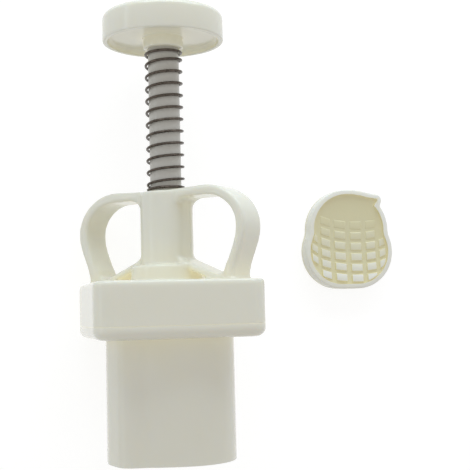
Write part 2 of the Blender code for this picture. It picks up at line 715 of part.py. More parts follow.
def make_knob_trim(parent, plastic, steel):
    under = KNOB_TOP - KNOB_CAP_THICKNESS
    turned("knob_cap", [
        (0, under),
        (KNOB_CAP_DIAMETER / 2, under),
        (KNOB_CAP_DIAMETER / 2, KNOB_TOP - STAMP_EDGE),
        (KNOB_CAP_DIAMETER / 2 - STAMP_EDGE, KNOB_TOP),
        (0, KNOB_TOP),
    ], parent, plastic)
    sizes = (ROD_SCREW_SHANK_DIAMETER, ROD_SCREW_LENGTH, ROD_SCREW_HEAD_DIAMETER, ROD_SCREW_HEAD_HEIGHT)
    make_screw("knob_screw", SOCKET_END + KNOB_SOCKET_WEB, -1, sizes, parent, steel)


def spring_points():
    """Centre line of the wire: closed turns, open turns, closed turns, each end running straight to its seat."""
    radius = (SPRING_DIAMETER - SPRING_WIRE_DIAMETER) / 2
    low = NECK_TOP + MESH_GAP
    high = HUB_END - MESH_GAP
    rise = high - low - 2 * SPRING_LEAD
    open_pitch = (rise - 2 * SPRING_CLOSED_TURNS * SPRING_CLOSED_PITCH) / SPRING_OPEN_TURNS
    turns = SPRING_OPEN_TURNS + 2 * SPRING_CLOSED_TURNS
    points = [Vector((radius, 0, low))]
    height = low + SPRING_LEAD
    for step in range(turns * SPRING_POINTS_PER_TURN + 1):
        angle = math.tau * step / SPRING_POINTS_PER_TURN
        points.append(Vector((radius * math.cos(angle), radius * math.sin(angle), height)))
        middle = (step + 0.5) / SPRING_POINTS_PER_TURN
        closed = middle < SPRING_CLOSED_TURNS or middle > turns - SPRING_CLOSED_TURNS
        height += (SPRING_CLOSED_PITCH if closed else open_pitch) / SPRING_POINTS_PER_TURN
    points.append(Vector((radius, 0, high)))
    return points


def least_gap(points, wire, apart):
    """Least gap between stretches of a round tube that lie more than a given number of points apart."""
    least = math.inf
    for index, point in enumerate(points):
        for start, end in zip(points[index + apart:], points[index + apart + 1:]):
            along = end - start
            share = min(max((point - start).dot(along) / along.length_squared, 0), 1)
            least = min(least, (point - start - along * share).length - wire)
    return least


def make_return_spring(parent, steel):
    curve = bpy.data.curves.new("return_spring", "CURVE")
    curve.dimensions = "3D"
    curve.bevel_depth = SPRING_WIRE_DIAMETER / 2
    curve.bevel_resolution = 1
    curve.use_fill_caps = True
    points = spring_points()
    wire = curve.splines.new("POLY")
    wire.points.add(len(points) - 1)
    for target, point in zip(wire.points, points):
        target.co = (*point, 1)
    curve.materials.append(steel)
    spring = bpy.data.objects.new("return_spring", curve)
    spring.parent = parent
    bpy.context.scene.collection.objects.link(spring)
    gap = least_gap(points, SPRING_WIRE_DIAMETER, SPRING_POINTS_PER_TURN // 2)
    print(f"return spring: least gap to itself {gap * 1000:.2f} mm")


def net_point(row, column):
    """Place on the stamp's face of a crossing in its curved net, in the plate's frame."""
    share = 2 * column / NET_COLUMNS - 1
    swell = NET_BULGE * math.sin(share * math.pi / 2) + (1 - NET_BULGE) * share
    up = NET_START + row * NET_PITCH + NET_BOW * share * share - NET_LEAN * share
    return Vector((swell * NET_HALF_WIDTH, up))


def make_net_blocks(parent):
    """Raised blocks of the traditional peanut-shell net, as one object of separate frustums, kept off the rim."""
    floor = STAMP_HEIGHT - STAMP_DISH_DEPTH
    shape = bmesh.new()
    for row in range(NET_ROWS):
        height = NET_BLOCK_HEIGHT * (1 - row * NET_BLOCK_FADE)
        for column in range(NET_COLUMNS):
            corners = [net_point(row, column), net_point(row, column + 1)]
            corners += [net_point(row + 1, column + 1), net_point(row + 1, column)]
            centre = sum(corners, Vector((0, 0))) / 4
            if peanut_distance(centre) > -NET_LEAST_INSET:
                continue
            foot = [centre + (corner - centre) * NET_BLOCK_SHARE for corner in corners]
            crown = [centre + (corner - centre) * NET_BLOCK_SHARE * NET_BLOCK_TAPER for corner in corners]
            add_loft(shape, [raised(foot, floor - height / 2), raised(crown, floor + height)])
    blocks = finish_mesh("net_blocks", shape, parent, None)
    combine(blocks, "INTERSECT", loft("net_reach", [
        raised(peanut(-NET_MARGIN), floor - NET_BLOCK_HEIGHT),
        raised(peanut(-NET_MARGIN), floor + 2 * NET_BLOCK_HEIGHT),
    ], parent))
    return blocks


def make_stamp_plate(parent, plastic):
    """Stamp plate lying on the table: skirt and sockets below, rim, dish and net of blocks above."""
    stamp_centre = make_empty("stamp_centre", parent)
    stamp_centre.location = (*STAMP_PLACE, 0)
    stamp = loft("stamp_plate", [
        raised(peanut(), 0),
        raised(peanut(), STAMP_HEIGHT - STAMP_EDGE),
        raised(peanut(-STAMP_EDGE), STAMP_HEIGHT),
    ], stamp_centre, plastic)
    combine(stamp, "DIFFERENCE", loft("stamp_hollow", [
        raised(peanut(-STAMP_SKIRT), -STAMP_HOLLOW),
        raised(peanut(-STAMP_SKIRT), STAMP_HOLLOW),
    ], stamp_centre))
    combine(stamp, "DIFFERENCE", loft("stamp_dish", [
        raised(peanut(-STAMP_RIM - STAMP_DISH_DEPTH / 2), STAMP_HEIGHT - STAMP_DISH_DEPTH),
        raised(peanut(-STAMP_RIM), STAMP_HEIGHT + STAMP_DISH_DEPTH),
    ], stamp_centre))
    combine(stamp, "UNION", make_net_blocks(stamp_centre))
    socket = PEG_DIAMETER / 2 + SCREW_CLEARANCE
    combine(stamp, "UNION", turned("stamp_sockets", [
        (socket + STAMP_SOCKET_WALL, 0),
        (socket + STAMP_SOCKET_WALL, STAMP_HOLLOW + STAMP_EDGE),
        (socket, STAMP_HOLLOW + STAMP_EDGE),
        (socket, 0),
    ], stamp_centre, steps=SCREW_STEPS, places=[(0, -PEG_SPACING / 2), (0, PEG_SPACING / 2)]))
    return stamp


def depths_below_axis(tilt):
    """How far the cover's rounded edge and the lower finger loop reach below the axis when it dips by an angle."""
    edge = (
        (FLANGE_SIDE / 2 - COVER_EDGE_RADIUS) * math.cos(tilt)
        + (COVER_TOP - COVER_EDGE_RADIUS) * math.sin(tilt)
        + COVER_EDGE_RADIUS
    )
    across = LOOP_WIDTH / 2 - LOOP_EDGE
    share = math.cos(math.radians(LOOP_TURN))
    loop = max(
        (reach - LOOP_EDGE + across) * share * math.cos(tilt) + height * math.sin(tilt) + LOOP_EDGE
        for reach, height in loop_outer_curve()
    )
    return edge, loop


def loop_hangs_higher(tilt):
    edge, loop = depths_below_axis(tilt)
    return loop < edge


def resting_tilt():
    """Dip of the axis at which one table touches both the cover's edge and the lower finger loop."""
    return last_true(loop_hangs_higher, math.radians(-STEEPEST_TILT), math.radians(STEEPEST_TILT))


def world_bounds(names):
    """Corners of the box round the named objects, as the viewport shows them."""
    graph = bpy.context.evaluated_depsgraph_get()
    points = []
    for name in names:
        shown = bpy.data.objects[name].evaluated_get(graph)
        mesh = shown.to_mesh()
        points += [shown.matrix_world @ vert.co for vert in mesh.vertices]
        shown.to_mesh_clear()
    low = Vector([min(point[axis] for point in points) for axis in range(3)])
    high = Vector([max(point[axis] for point in points) for axis in range(3)])
    return low, high


def set_on_table(table, mould_axis):
    """Lowers the mould onto the table and puts the origin under the middle of the whole."""
    mould = ["handle_body", "barrel", "knob"]
    low, _ = world_bounds(mould)
    mould_axis.location.z -= low.z
    low, high = world_bounds(mould + ["stamp_plate"])
    table.location = (-(low.x + high.x) / 2, -(low.y + high.y) / 2, 0)
    bpy.context.view_layer.update()
    centre = mould_axis.matrix_world.translation * 1000
    tilt = math.degrees(resting_tilt())
    print(f"mould axis: through {centre.x:.3f}, {centre.y:.3f}, {centre.z:.3f} mm, dipping {tilt:.4f} degrees")


def main():
    clear_scene()
    ivory = make_material("ivory_plastic", (0.90, 0.89, 0.80), 0.28)
    grey = make_material("grey_plastic", (0.50, 0.47, 0.43), 0.35)
    steel = make_material("steel", (0.55, 0.54, 0.52), 0.25, 1.0)

    table = make_empty("table")
    mould_axis = make_empty("mould_axis", table)
    mould_axis.rotation_euler = (-math.pi / 2 - resting_tilt(), 0, 0)
    plunger_axis = make_empty("plunger_axis", mould_axis)

    make_handle_body(mould_axis, ivory)
    make_barrel(mould_axis, ivory)
    make_barrel_screws(mould_axis, steel)
    make_return_spring(mould_axis, steel)

    make_plunger_rod(plunger_axis, grey)
    make_carrier(plunger_axis, ivory)
    make_carrier_fastener(plunger_axis, steel)
    make_knob(plunger_axis, ivory)
    make_knob_trim(plunger_axis, ivory, steel)

    make_stamp_plate(table, ivory)
    set_on_table(table, mould_axis)


main()
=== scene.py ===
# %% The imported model
import json
import math

import bpy
from mathutils import Matrix, Quaternion, Vector

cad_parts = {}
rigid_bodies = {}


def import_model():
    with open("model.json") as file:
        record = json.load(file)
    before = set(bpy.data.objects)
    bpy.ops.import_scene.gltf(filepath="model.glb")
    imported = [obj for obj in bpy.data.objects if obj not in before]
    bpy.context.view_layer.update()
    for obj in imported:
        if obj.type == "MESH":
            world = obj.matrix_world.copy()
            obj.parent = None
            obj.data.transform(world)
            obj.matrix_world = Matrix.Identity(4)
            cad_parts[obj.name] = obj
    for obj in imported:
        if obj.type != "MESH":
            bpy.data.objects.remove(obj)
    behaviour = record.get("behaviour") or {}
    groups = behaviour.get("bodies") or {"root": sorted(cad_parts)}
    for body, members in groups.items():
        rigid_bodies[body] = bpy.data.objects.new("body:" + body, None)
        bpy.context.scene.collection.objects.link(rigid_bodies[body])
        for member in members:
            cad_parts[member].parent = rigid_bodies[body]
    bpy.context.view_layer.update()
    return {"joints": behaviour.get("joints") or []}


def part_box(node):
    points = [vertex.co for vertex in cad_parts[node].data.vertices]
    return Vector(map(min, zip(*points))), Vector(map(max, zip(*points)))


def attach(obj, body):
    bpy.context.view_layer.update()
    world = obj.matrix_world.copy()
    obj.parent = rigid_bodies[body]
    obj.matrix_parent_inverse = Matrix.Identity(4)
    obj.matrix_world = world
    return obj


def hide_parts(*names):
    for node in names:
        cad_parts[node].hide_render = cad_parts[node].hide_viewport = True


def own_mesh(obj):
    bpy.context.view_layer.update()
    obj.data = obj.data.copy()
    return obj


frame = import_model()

# %% [markdown]
# # A hand-press mooncake mould in glossy ivory plastic
#
# The mould lies on its side next to the loose stamp plate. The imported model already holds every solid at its
# real size, so this script makes the surfaces that the eye sees: smooth round walls, soft fillets, a spring
# of round wire, and the finish of each material. All lengths are in metres.
#
# Every piece is modelled upright, because its axis is then simply Z, and a knob or a neck is a ring that is
# extruded along it. When a piece is done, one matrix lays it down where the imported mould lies.

# %% Where the mould lies
slide = next(joint for joint in frame["joints"] if joint["name"] == "plunger_slide")
UP = -Vector(slide["axis"]).normalized()
ACROSS = Vector((1, 0, 0))
AWAY = UP.cross(ACROSS)
ROD_MIDDLE_HEIGHT = 0.0503
rod_low, rod_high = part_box("plunger_rod")
cover_middle = (rod_low + rod_high) / 2 - UP * ROD_MIDDLE_HEIGHT
LAID_DOWN = Matrix.Translation(cover_middle) @ Matrix((ACROSS, AWAY, UP)).transposed().to_4x4()
print(f"the axis dips {math.degrees(math.asin(-UP.z)):.2f} degrees")

# %% [markdown]
# ## Working habits
#
# An operator acts on everything that is selected, so each helper first selects only its own piece. A modifier
# is applied at once, so that the next step works on real faces.

# %% Selecting, applying and laying down
SHARP_ANGLE = math.radians(32)


def select_only(*chosen):
    bpy.ops.object.select_all(action="DESELECT")
    for piece in chosen:
        piece.select_set(True)
    bpy.context.view_layer.objects.active = chosen[0]


def apply_modifier(piece, kind, **settings):
    modifier = piece.modifiers.new(kind.title(), kind)
    for setting, value in settings.items():
        setattr(modifier, setting, value)
    select_only(piece)
    bpy.ops.object.modifier_apply(modifier=modifier.name)


def combine(piece, operation, tool):
    """Joins the tool to the piece or cuts it out, and throws the tool away."""
    apply_modifier(piece, "BOOLEAN", operation=operation, solver="EXACT", object=tool)
    bpy.data.objects.remove(tool)


def edit_faces(piece, test):
    """Opens edit mode with only those faces selected whose centre and normal pass a test."""
    select_only(piece)
    bpy.ops.object.mode_set(mode="EDIT")
    bpy.ops.mesh.select_mode(type="FACE")
    bpy.ops.mesh.select_all(action="DESELECT")
    bpy.ops.object.mode_set(mode="OBJECT")
    for face in piece.data.polygons:
        face.select = test(face.center, face.normal)
    bpy.ops.object.mode_set(mode="EDIT")


def put_origin_home(piece):
    select_only(piece)
    bpy.ops.object.transform_apply(location=True, rotation=True, scale=True)


def finish_piece(piece, body, slot, *nodes, matrix=LAID_DOWN):
    """Lays a finished piece down, smooths its round faces and lets it stand for its solids."""
    put_origin_home(piece)
    piece.matrix_world = matrix
    put_origin_home(piece)
    bpy.ops.object.shade_smooth_by_angle(angle=SHARP_ANGLE)
    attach(piece, body)
    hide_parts(*nodes)
    piece.data.calc_loop_triangles()
    print(f"{piece.name}: {len(piece.data.loop_triangles)} triangles")


# %% [markdown]
# ## Turned pieces
#
# The knob, the rod, the neck and the screws are all solids of revolution. By hand such a piece grows from one
# ring: extrude the ring, move it along the axis, scale it to the next radius, and so on. That keeps full
# control of each radius, where a Screw modifier would need a drawn profile first.

# %% Growing a ring along the axis
TURNED_STEPS = 96


def turned(name, profile, steps=TURNED_STEPS, closed=False):
    """Solid from (radius, height) points: open profiles get flat ends, closed ones join up round a bore."""
    radius, height = profile[0]
    bpy.ops.object.select_all(action="DESELECT")
    bpy.ops.mesh.primitive_circle_add(vertices=steps, radius=radius, location=(0, 0, height))
    piece = bpy.context.object
    piece.name = name
    bpy.ops.object.mode_set(mode="EDIT")
    for next_radius, next_height in profile[1:] + (profile[:1] if closed else []):
        rise = (0, 0, next_height - height)
        bpy.ops.mesh.extrude_edges_move(TRANSFORM_OT_translate={"value": rise})
        share = next_radius / radius
        bpy.ops.transform.resize(value=(share, share, 1))
        radius, height = next_radius, next_height
    bpy.ops.mesh.select_all(action="SELECT")
    bpy.ops.mesh.remove_doubles(threshold=1e-6)
    if not closed:
        bpy.ops.mesh.fill_holes(sides=0)
    bpy.ops.mesh.normals_make_consistent(inside=False)
    bpy.ops.object.mode_set(mode="OBJECT")
    put_origin_home(piece)
    return piece


def arc(centre, radius, start, end, steps=6):
    """Points on an arc as (radius, height), between two angles in degrees."""
    points = []
    for step in range(steps + 1):
        angle = math.radians(start + (end - start) * step / steps)
        points.append((centre[0] + radius * math.cos(angle), centre[1] + radius * math.sin(angle)))
    return points


# %% [markdown]
# ## The peanut outline
#
# The stamp plate, the plate that carries it and the barrel share one outline: two wide lobes and a small cap
# with a notch beside it. Each lobe is a bar with round ends. A mould maker would offset the outline for each
# wall and let the cutter leave a fillet in the waist. Circles could be joined by hand for each offset, but
# here the outline is found as a distance: the lesser of the bars' distances, made a little less where two are
# alike. An offset is then only a larger distance.

# %% Lobes, and the outline that they make
LOWER_LOBE = ((-0.0038, -0.0056), (0.0038, -0.0056), 0.0171)
UPPER_LOBE = ((-0.0006, 0.0043), (0.0006, 0.0043), 0.0184)
CAP_LOBE = ((0.0056, 0.0189), (0.0134, 0.0177), 0.0029)
LOBE_BLEND = 0.0012
OUTLINE_STEPS = 480
LARGEST_REACH = 0.03
OUTLINE_CARE = 1e-6


def bar_distance(place, start, end, radius):
    """Distance to a bar with round ends, below zero inside it."""
    along = Vector(end) - Vector(start)
    share = (place - Vector(start)).dot(along) / along.length_squared
    nearest = Vector(start) + along * min(max(share, 0), 1)
    return (place - nearest).length - radius


def blended_least(first, second, blend):
    """Lesser of two distances, with a fillet where they are nearly alike."""
    likeness = max(blend - abs(first - second), 0) / blend
    return min(first, second) - likeness * likeness * blend / 4


def peanut_distance(place, blend=LOBE_BLEND):
    shell = blended_least(bar_distance(place, *LOWER_LOBE), bar_distance(place, *UPPER_LOBE), blend)
    return blended_least(shell, bar_distance(place, *CAP_LOBE), blend)


def peanut_outline(grown):
    """Points of the grown outline, each found along a ray from the middle by halving."""
    blend = LOBE_BLEND + max(grown, 0)
    points = []
    for step in range(OUTLINE_STEPS):
        angle = math.tau * step / OUTLINE_STEPS
        ray = Vector((math.cos(angle), math.sin(angle)))
        near, far = 0, LARGEST_REACH
        while far - near > OUTLINE_CARE:
            middle = (near + far) / 2
            if peanut_distance(ray * middle, blend) < grown:
                near = middle
            else:
                far = middle
        points.append(ray * near)
    return points


def peanut_slab(name, grown, low, high, in_barrel=False):
    """Slab with the peanut outline, as the plate lies or, turned a quarter, as the barrel holds it."""
    bpy.ops.object.select_all(action="DESELECT")
    bpy.ops.mesh.primitive_circle_add(vertices=OUTLINE_STEPS, fill_type="NGON")
    slab = bpy.context.object
    slab.name = name
    for vertex, (across, back) in zip(slab.data.vertices, peanut_outline(grown)):
        vertex.co = (-back, -across, low) if in_barrel else (across, back, low)
    bpy.ops.object.mode_set(mode="EDIT")
    bpy.ops.mesh.select_all(action="SELECT")
    bpy.ops.mesh.extrude_region_move(TRANSFORM_OT_translate={"value": (0, 0, high - low)})
    bpy.ops.mesh.select_all(action="SELECT")
    bpy.ops.mesh.normals_make_consistent(inside=False)
    bpy.ops.object.mode_set(mode="OBJECT")
    return slab


def rounded_box(name, side, corner, low, high, corner_steps=10):
    """Square block with round upright corners."""
    bpy.ops.object.select_all(action="DESELECT")
    bpy.ops.mesh.primitive_cube_add(size=1, location=(0, 0, (low + high) / 2), scale=(side, side, high - low))
    block = bpy.context.object
    block.name = name
    put_origin_home(block)
    bpy.ops.object.mode_set(mode="EDIT")
    bpy.ops.mesh.select_mode(type="EDGE")
    bpy.ops.mesh.select_all(action="DESELECT")
    bpy.ops.object.mode_set(mode="OBJECT")
    corners = block.data.vertices
    for edge in block.data.edges:
        first, second = (corners[index].co for index in edge.vertices)
        edge.select = abs(first.z - second.z) > (high - low) / 2
    bpy.ops.object.mode_set(mode="EDIT")
    bpy.ops.mesh.bevel(offset=corner, segments=corner_steps, affect="EDGES")
    bpy.ops.object.mode_set(mode="OBJECT")
    return block


def round_rim(block, level, radius, steps=5):
    """Rounds the edge all round the flat face at a level."""
    edit_faces(block, lambda centre, normal: abs(centre.z - level) < 1e-5)
    bpy.ops.mesh.region_to_loop()
    bpy.ops.mesh.bevel(offset=radius, segments=steps, affect="EDGES")
    bpy.ops.object.mode_set(mode="OBJECT")


# %% [markdown]
# ## The handle body
#
# Cover, collar, neck, finger loops and struts are one moulding, and on the real object they flow into each
# other with soft fillets. Bevelling such meeting lines one by one is fragile. Here the rough blocks are
# joined, the whole is remeshed into small even cells, and a few rounds of smoothing melt every inner corner
# into a fillet. Holes that must stay crisp are cut last.

# %% Levels and sizes of the handle body
FLANGE_SIDE = 0.067
FLANGE_CORNER = 0.008
COVER_TOP = 0.0086
COVER_RIM = -0.00883
COVER_WALL = 0.003
COVER_EDGE = 0.0014
NECK_RADIUS = 0.0108
NECK_TOP = 0.0454
NECK_EDGE = 0.0009
COLLAR_RADIUS = 0.0146
COLLAR_FOOT_RADIUS = 0.0152
COLLAR_HEIGHT = 0.0067
LOOP_TURN = math.radians(-45)
LOOP_FOOT_REACH = FLANGE_SIDE * math.sqrt(0.5) - 0.0121
LOOP_REACH = LOOP_FOOT_REACH + 0.0055
LOOP_CREST_REACH = 0.022
LOOP_CREST = COVER_TOP + 0.0377
LOOP_WIDEST = COVER_TOP + 0.0209
LOOP_WIDTH = 0.0138
LOOP_SIDE_THICKNESS = 0.0042
LOOP_TOP_THICKNESS = 0.004
LOOP_EDGE = 0.0009
LOOP_FILLET = 0.0035
STRUT_START = COVER_TOP + 0.0088
STRUT_FOOT = COVER_TOP + 0.002
STRUT_FOOT_REACH = LOOP_FOOT_REACH - LOOP_SIDE_THICKNESS - 0.0041
STRUT_GAP_REACH = LOOP_FOOT_REACH - LOOP_SIDE_THICKNESS - 0.0075
STRUT_THICKNESS = 0.0027
BURIED = COVER_TOP - 0.0015
ROD_BORE_RADIUS = 0.0066
GUIDE_TUBE_RADIUS = 0.00975
GUIDE_TUBE_END = -0.0101
POST_REACH = 0.025
POST_RADIUS = 0.0033
SCREW_HOLE_RADIUS = 0.0017


# %% Outlines of a finger loop and its strut
def crest_arc(side, crest, steps=20):
    """Quarter of an ellipse from the crest down to the loop's widest place."""
    points = []
    for step in range(steps + 1):
        angle = math.pi / 2 * step / steps
        reach = LOOP_CREST_REACH + (side - LOOP_CREST_REACH) * math.sin(angle)
        points.append((reach, LOOP_WIDEST + (crest - LOOP_WIDEST) * math.cos(angle)))
    return points


def foot_sweep(side, foot, steps=14):
    """Soft S-curve from the widest place in to the foot."""
    points = []
    for step in range(1, steps + 1):
        share = step / steps
        reach = foot + (side - foot) * (1 + math.cos(math.pi * share)) / 2
        points.append((reach, LOOP_WIDEST + (COVER_TOP - LOOP_WIDEST) * share))
    return points


def rounded_corner(before, corner, after, radius, steps=6):
    """Arc that rounds a corner between two straight sides."""
    tip = Vector(corner)
    one = (Vector(before) - tip).normalized()
    other = (Vector(after) - tip).normalized()
    half = one.angle(other) / 2
    centre = tip + (one + other).normalized() * radius / math.sin(half)
    start = tip + one * radius / math.tan(half) - centre
    end = tip + other * radius / math.tan(half) - centre
    spokes = [start.slerp(end, step / steps).normalized() * radius for step in range(steps + 1)]
    return [tuple(centre + spoke) for spoke in spokes]


# The fillets at the neck end a little inside it, where the loop's whole width is already hidden.
HALF_WIDTH = LOOP_WIDTH / 2
REACH_INSIDE_NECK = math.sqrt(NECK_RADIUS ** 2 - HALF_WIDTH ** 2) - LOOP_EDGE / 2
NECK_FILLET = LOOP_FILLET + NECK_RADIUS - REACH_INSIDE_NECK


def loop_outline():
    """Points of a finger loop as (reach from the axis, height)."""
    side = LOOP_REACH - LOOP_SIDE_THICKNESS
    foot = LOOP_FOOT_REACH - LOOP_SIDE_THICKNESS
    ceiling = LOOP_CREST - LOOP_TOP_THICKNESS
    outer = crest_arc(LOOP_REACH, LOOP_CREST) + foot_sweep(LOOP_REACH, LOOP_FOOT_REACH)
    inner = crest_arc(side, ceiling) + foot_sweep(side, foot)
    beside, tip = (LOOP_CREST_REACH, ceiling), (REACH_INSIDE_NECK, ceiling)
    neck_corner = rounded_corner(beside, tip, (REACH_INSIDE_NECK, LOOP_WIDEST), NECK_FILLET)
    return (
        [(0, LOOP_CREST - LOOP_EDGE)]
        + outer
        + [(LOOP_FOOT_REACH, BURIED), (foot, BURIED)]
        + inner[::-1]
        + neck_corner
        + [(0, ceiling - NECK_FILLET)]
    )


def strut_outline():
    """Points of the strut that runs from the neck down to the loop's foot."""
    side = LOOP_FOOT_REACH - LOOP_SIDE_THICKNESS
    up_side = STRUT_FOOT + 2 * LOOP_FILLET
    foot = (STRUT_FOOT_REACH, STRUT_FOOT)
    fall = (STRUT_START - STRUT_FOOT) / (STRUT_FOOT_REACH - NECK_RADIUS)
    tip = (REACH_INSIDE_NECK, STRUT_START + fall * (NECK_RADIUS - REACH_INSIDE_NECK))
    at_neck = rounded_corner((REACH_INSIDE_NECK, NECK_TOP), tip, foot, NECK_FILLET)
    at_foot = rounded_corner(foot, (side, STRUT_FOOT), (side, up_side), LOOP_FILLET)
    return (
        [(0, at_neck[0][1])]
        + at_neck
        + [foot]
        + at_foot
        + [(side + LOOP_SIDE_THICKNESS / 2, up_side), (LOOP_FOOT_REACH - LOOP_EDGE, up_side)]
        + [(LOOP_FOOT_REACH - LOOP_EDGE, BURIED), (STRUT_GAP_REACH, BURIED), (STRUT_GAP_REACH, COVER_TOP)]
        + [(NECK_RADIUS, STRUT_START - STRUT_THICKNESS), (0, STRUT_START - STRUT_THICKNESS)]
    )


def standing_slab(name, outline, width, turn):
    """Face with the outline, extruded to a slab through the axis, with its rims rounded."""
    bpy.ops.object.select_all(action="DESELECT")
    bpy.ops.mesh.primitive_circle_add(vertices=len(outline), fill_type="NGON")
    slab = bpy.context.object
    slab.name = name
    for vertex, (reach, height) in zip(slab.data.vertices, outline):
        vertex.co = (reach, -width / 2, height)
    bpy.ops.object.mode_set(mode="EDIT")
    bpy.ops.mesh.select_all(action="SELECT")
    bpy.ops.mesh.extrude_region_move(TRANSFORM_OT_translate={"value": (0, width, 0)})
    bpy.ops.mesh.select_all(action="SELECT")
    bpy.ops.mesh.normals_make_consistent(inside=False)
    bpy.ops.object.mode_set(mode="OBJECT")
    edit_faces(slab, lambda centre, normal: abs(normal.y) > 0.9)
    bpy.ops.mesh.region_to_loop()
    bpy.ops.mesh.bevel(offset=LOOP_EDGE, segments=3, affect="EDGES")
    bpy.ops.object.mode_set(mode="OBJECT")
    slab.rotation_euler.z = turn
    put_origin_home(slab)
    return slab


# %% Joining the blocks of the handle body and melting their corners
MELT_CELL = 0.00055
MELT_ROUNDS = 14
CUT_ALLOWANCE = 0.003

rough_bottom = COVER_RIM - CUT_ALLOWANCE
handle_body = rounded_box("handle_body_skin", FLANGE_SIDE, FLANGE_CORNER, rough_bottom, COVER_TOP)
round_rim(handle_body, COVER_TOP, COVER_EDGE)
neck = turned("neck", [
    (COLLAR_FOOT_RADIUS, BURIED),
    (COLLAR_RADIUS, COVER_TOP + COLLAR_HEIGHT),
    (NECK_RADIUS, COVER_TOP + COLLAR_HEIGHT),
] + arc((NECK_RADIUS - NECK_EDGE, NECK_TOP - NECK_EDGE), NECK_EDGE, 0, 90))
combine(handle_body, "UNION", neck)
for turn in (LOOP_TURN, LOOP_TURN + math.pi):
    combine(handle_body, "UNION", standing_slab("loop_band", loop_outline(), LOOP_WIDTH, turn))
    combine(handle_body, "UNION", standing_slab("loop_strut", strut_outline(), LOOP_WIDTH - LOOP_EDGE, turn))
apply_modifier(handle_body, "REMESH", mode="VOXEL", voxel_size=MELT_CELL)
apply_modifier(handle_body, "SMOOTH", factor=0.5, iterations=MELT_ROUNDS)

# %% Cutting the handle body's crisp faces
PILOT_BOTTOM = -0.012
PILOT_TOP = 0.0005

select_only(handle_body)
bpy.ops.object.mode_set(mode="EDIT")
bpy.ops.mesh.select_all(action="SELECT")
bpy.ops.mesh.bisect(plane_co=(0, 0, COVER_RIM), plane_no=(0, 0, 1), use_fill=True, clear_inner=True)
bpy.ops.object.mode_set(mode="OBJECT")
inner_side = FLANGE_SIDE - 2 * COVER_WALL
inner_corner = FLANGE_CORNER - COVER_WALL
hollow = rounded_box("hollow", inner_side, inner_corner, COVER_RIM - COVER_WALL, COVER_TOP - COVER_WALL)
combine(handle_body, "DIFFERENCE", hollow)
guide = turned("guide_tube", [(GUIDE_TUBE_RADIUS, GUIDE_TUBE_END), (GUIDE_TUBE_RADIUS, BURIED)])
combine(handle_body, "UNION", guide)
for across in (-POST_REACH, POST_REACH):
    for back in (-POST_REACH, POST_REACH):
        post = turned("post", [(POST_RADIUS, COVER_RIM), (POST_RADIUS, BURIED)], steps=32)
        post.location = (across, back, 0)
        combine(handle_body, "UNION", post)
        pilot = turned("pilot", [(SCREW_HOLE_RADIUS, PILOT_BOTTOM), (SCREW_HOLE_RADIUS, PILOT_TOP)], steps=24)
        pilot.location = (across, back, 0)
        combine(handle_body, "DIFFERENCE", pilot)
rod_bore = turned("rod_bore", [
    (ROD_BORE_RADIUS, GUIDE_TUBE_END - COVER_WALL), (ROD_BORE_RADIUS, NECK_TOP + COVER_WALL)
])
combine(handle_body, "DIFFERENCE", rod_bore)
finish_piece(handle_body, "mould", "ivory_plastic", "handle_body")

# %% [markdown]
# ## The barrel
#
# The base plate closes the cover, and the tube below it has the peanut outline. The walls must stay exact,
# because the stamp slides in them, so nothing is melted here: the plate and the tube are plain slabs that the
# Boolean modifier joins and cuts, and a small bevel catches the light at the mouth.

# %% Base plate, tube and screw holes
PLATE_TOP = -0.0089
PLATE_BOTTOM = -0.0139
PLATE_EDGE = 0.0038
BARREL_MOUTH = -0.0627
BARREL_CLEARANCE = 0.0004
BARREL_WALL = 0.0025
BARREL_UPSTAND = 0.012
LIP_HEIGHT = 0.002
LIP_ROOT = 0.002
LIP_WALL = 0.0016
LIP_GAP = 0.0003
SCREW_HEAD_SEAT = -0.0114
SCREW_HEAD_HOLE_RADIUS = 0.0029
EDGE_BEVEL = 0.0004
BEVELLED_ANGLE = math.radians(40)

barrel = rounded_box("barrel_skin", FLANGE_SIDE, FLANGE_CORNER, PLATE_BOTTOM, PLATE_TOP)
round_rim(barrel, PLATE_BOTTOM, PLATE_EDGE, steps=8)
lip_side = inner_side - 2 * LIP_GAP
lip = rounded_box("lip", lip_side, inner_corner, PLATE_TOP - LIP_ROOT, PLATE_TOP + LIP_HEIGHT)
combine(barrel, "UNION", lip)
lip_hollow = rounded_box(
    "lip_hollow", lip_side - 2 * LIP_WALL, inner_corner - LIP_WALL, PLATE_TOP, PLATE_TOP + 2 * LIP_HEIGHT
)
combine(barrel, "DIFFERENCE", lip_hollow)
tube_top = PLATE_TOP + BARREL_UPSTAND
tube = peanut_slab("tube", BARREL_CLEARANCE + BARREL_WALL, BARREL_MOUTH, tube_top, in_barrel=True)
combine(barrel, "UNION", tube)
tube_hollow = peanut_slab(
    "tube_hollow", BARREL_CLEARANCE, BARREL_MOUTH - COVER_WALL, tube_top + COVER_WALL, in_barrel=True
)
combine(barrel, "DIFFERENCE", tube_hollow)
for across in (-POST_REACH, POST_REACH):
    for back in (-POST_REACH, POST_REACH):
        hole = turned("hole", [
            (SCREW_HEAD_HOLE_RADIUS, PLATE_BOTTOM - LIP_HEIGHT),
            (SCREW_HEAD_HOLE_RADIUS, SCREW_HEAD_SEAT),
            (SCREW_HOLE_RADIUS, SCREW_HEAD_SEAT),
            (SCREW_HOLE_RADIUS, PLATE_TOP + LIP_HEIGHT),
        ], steps=32)
        hole.location = (across, back, 0)
        combine(barrel, "DIFFERENCE", hole)
apply_modifier(barrel, "BEVEL", width=EDGE_BEVEL, segments=3, limit_method="ANGLE", angle_limit=BEVELLED_ANGLE)
finish_piece(barrel, "mould", "ivory_plastic", "barrel")

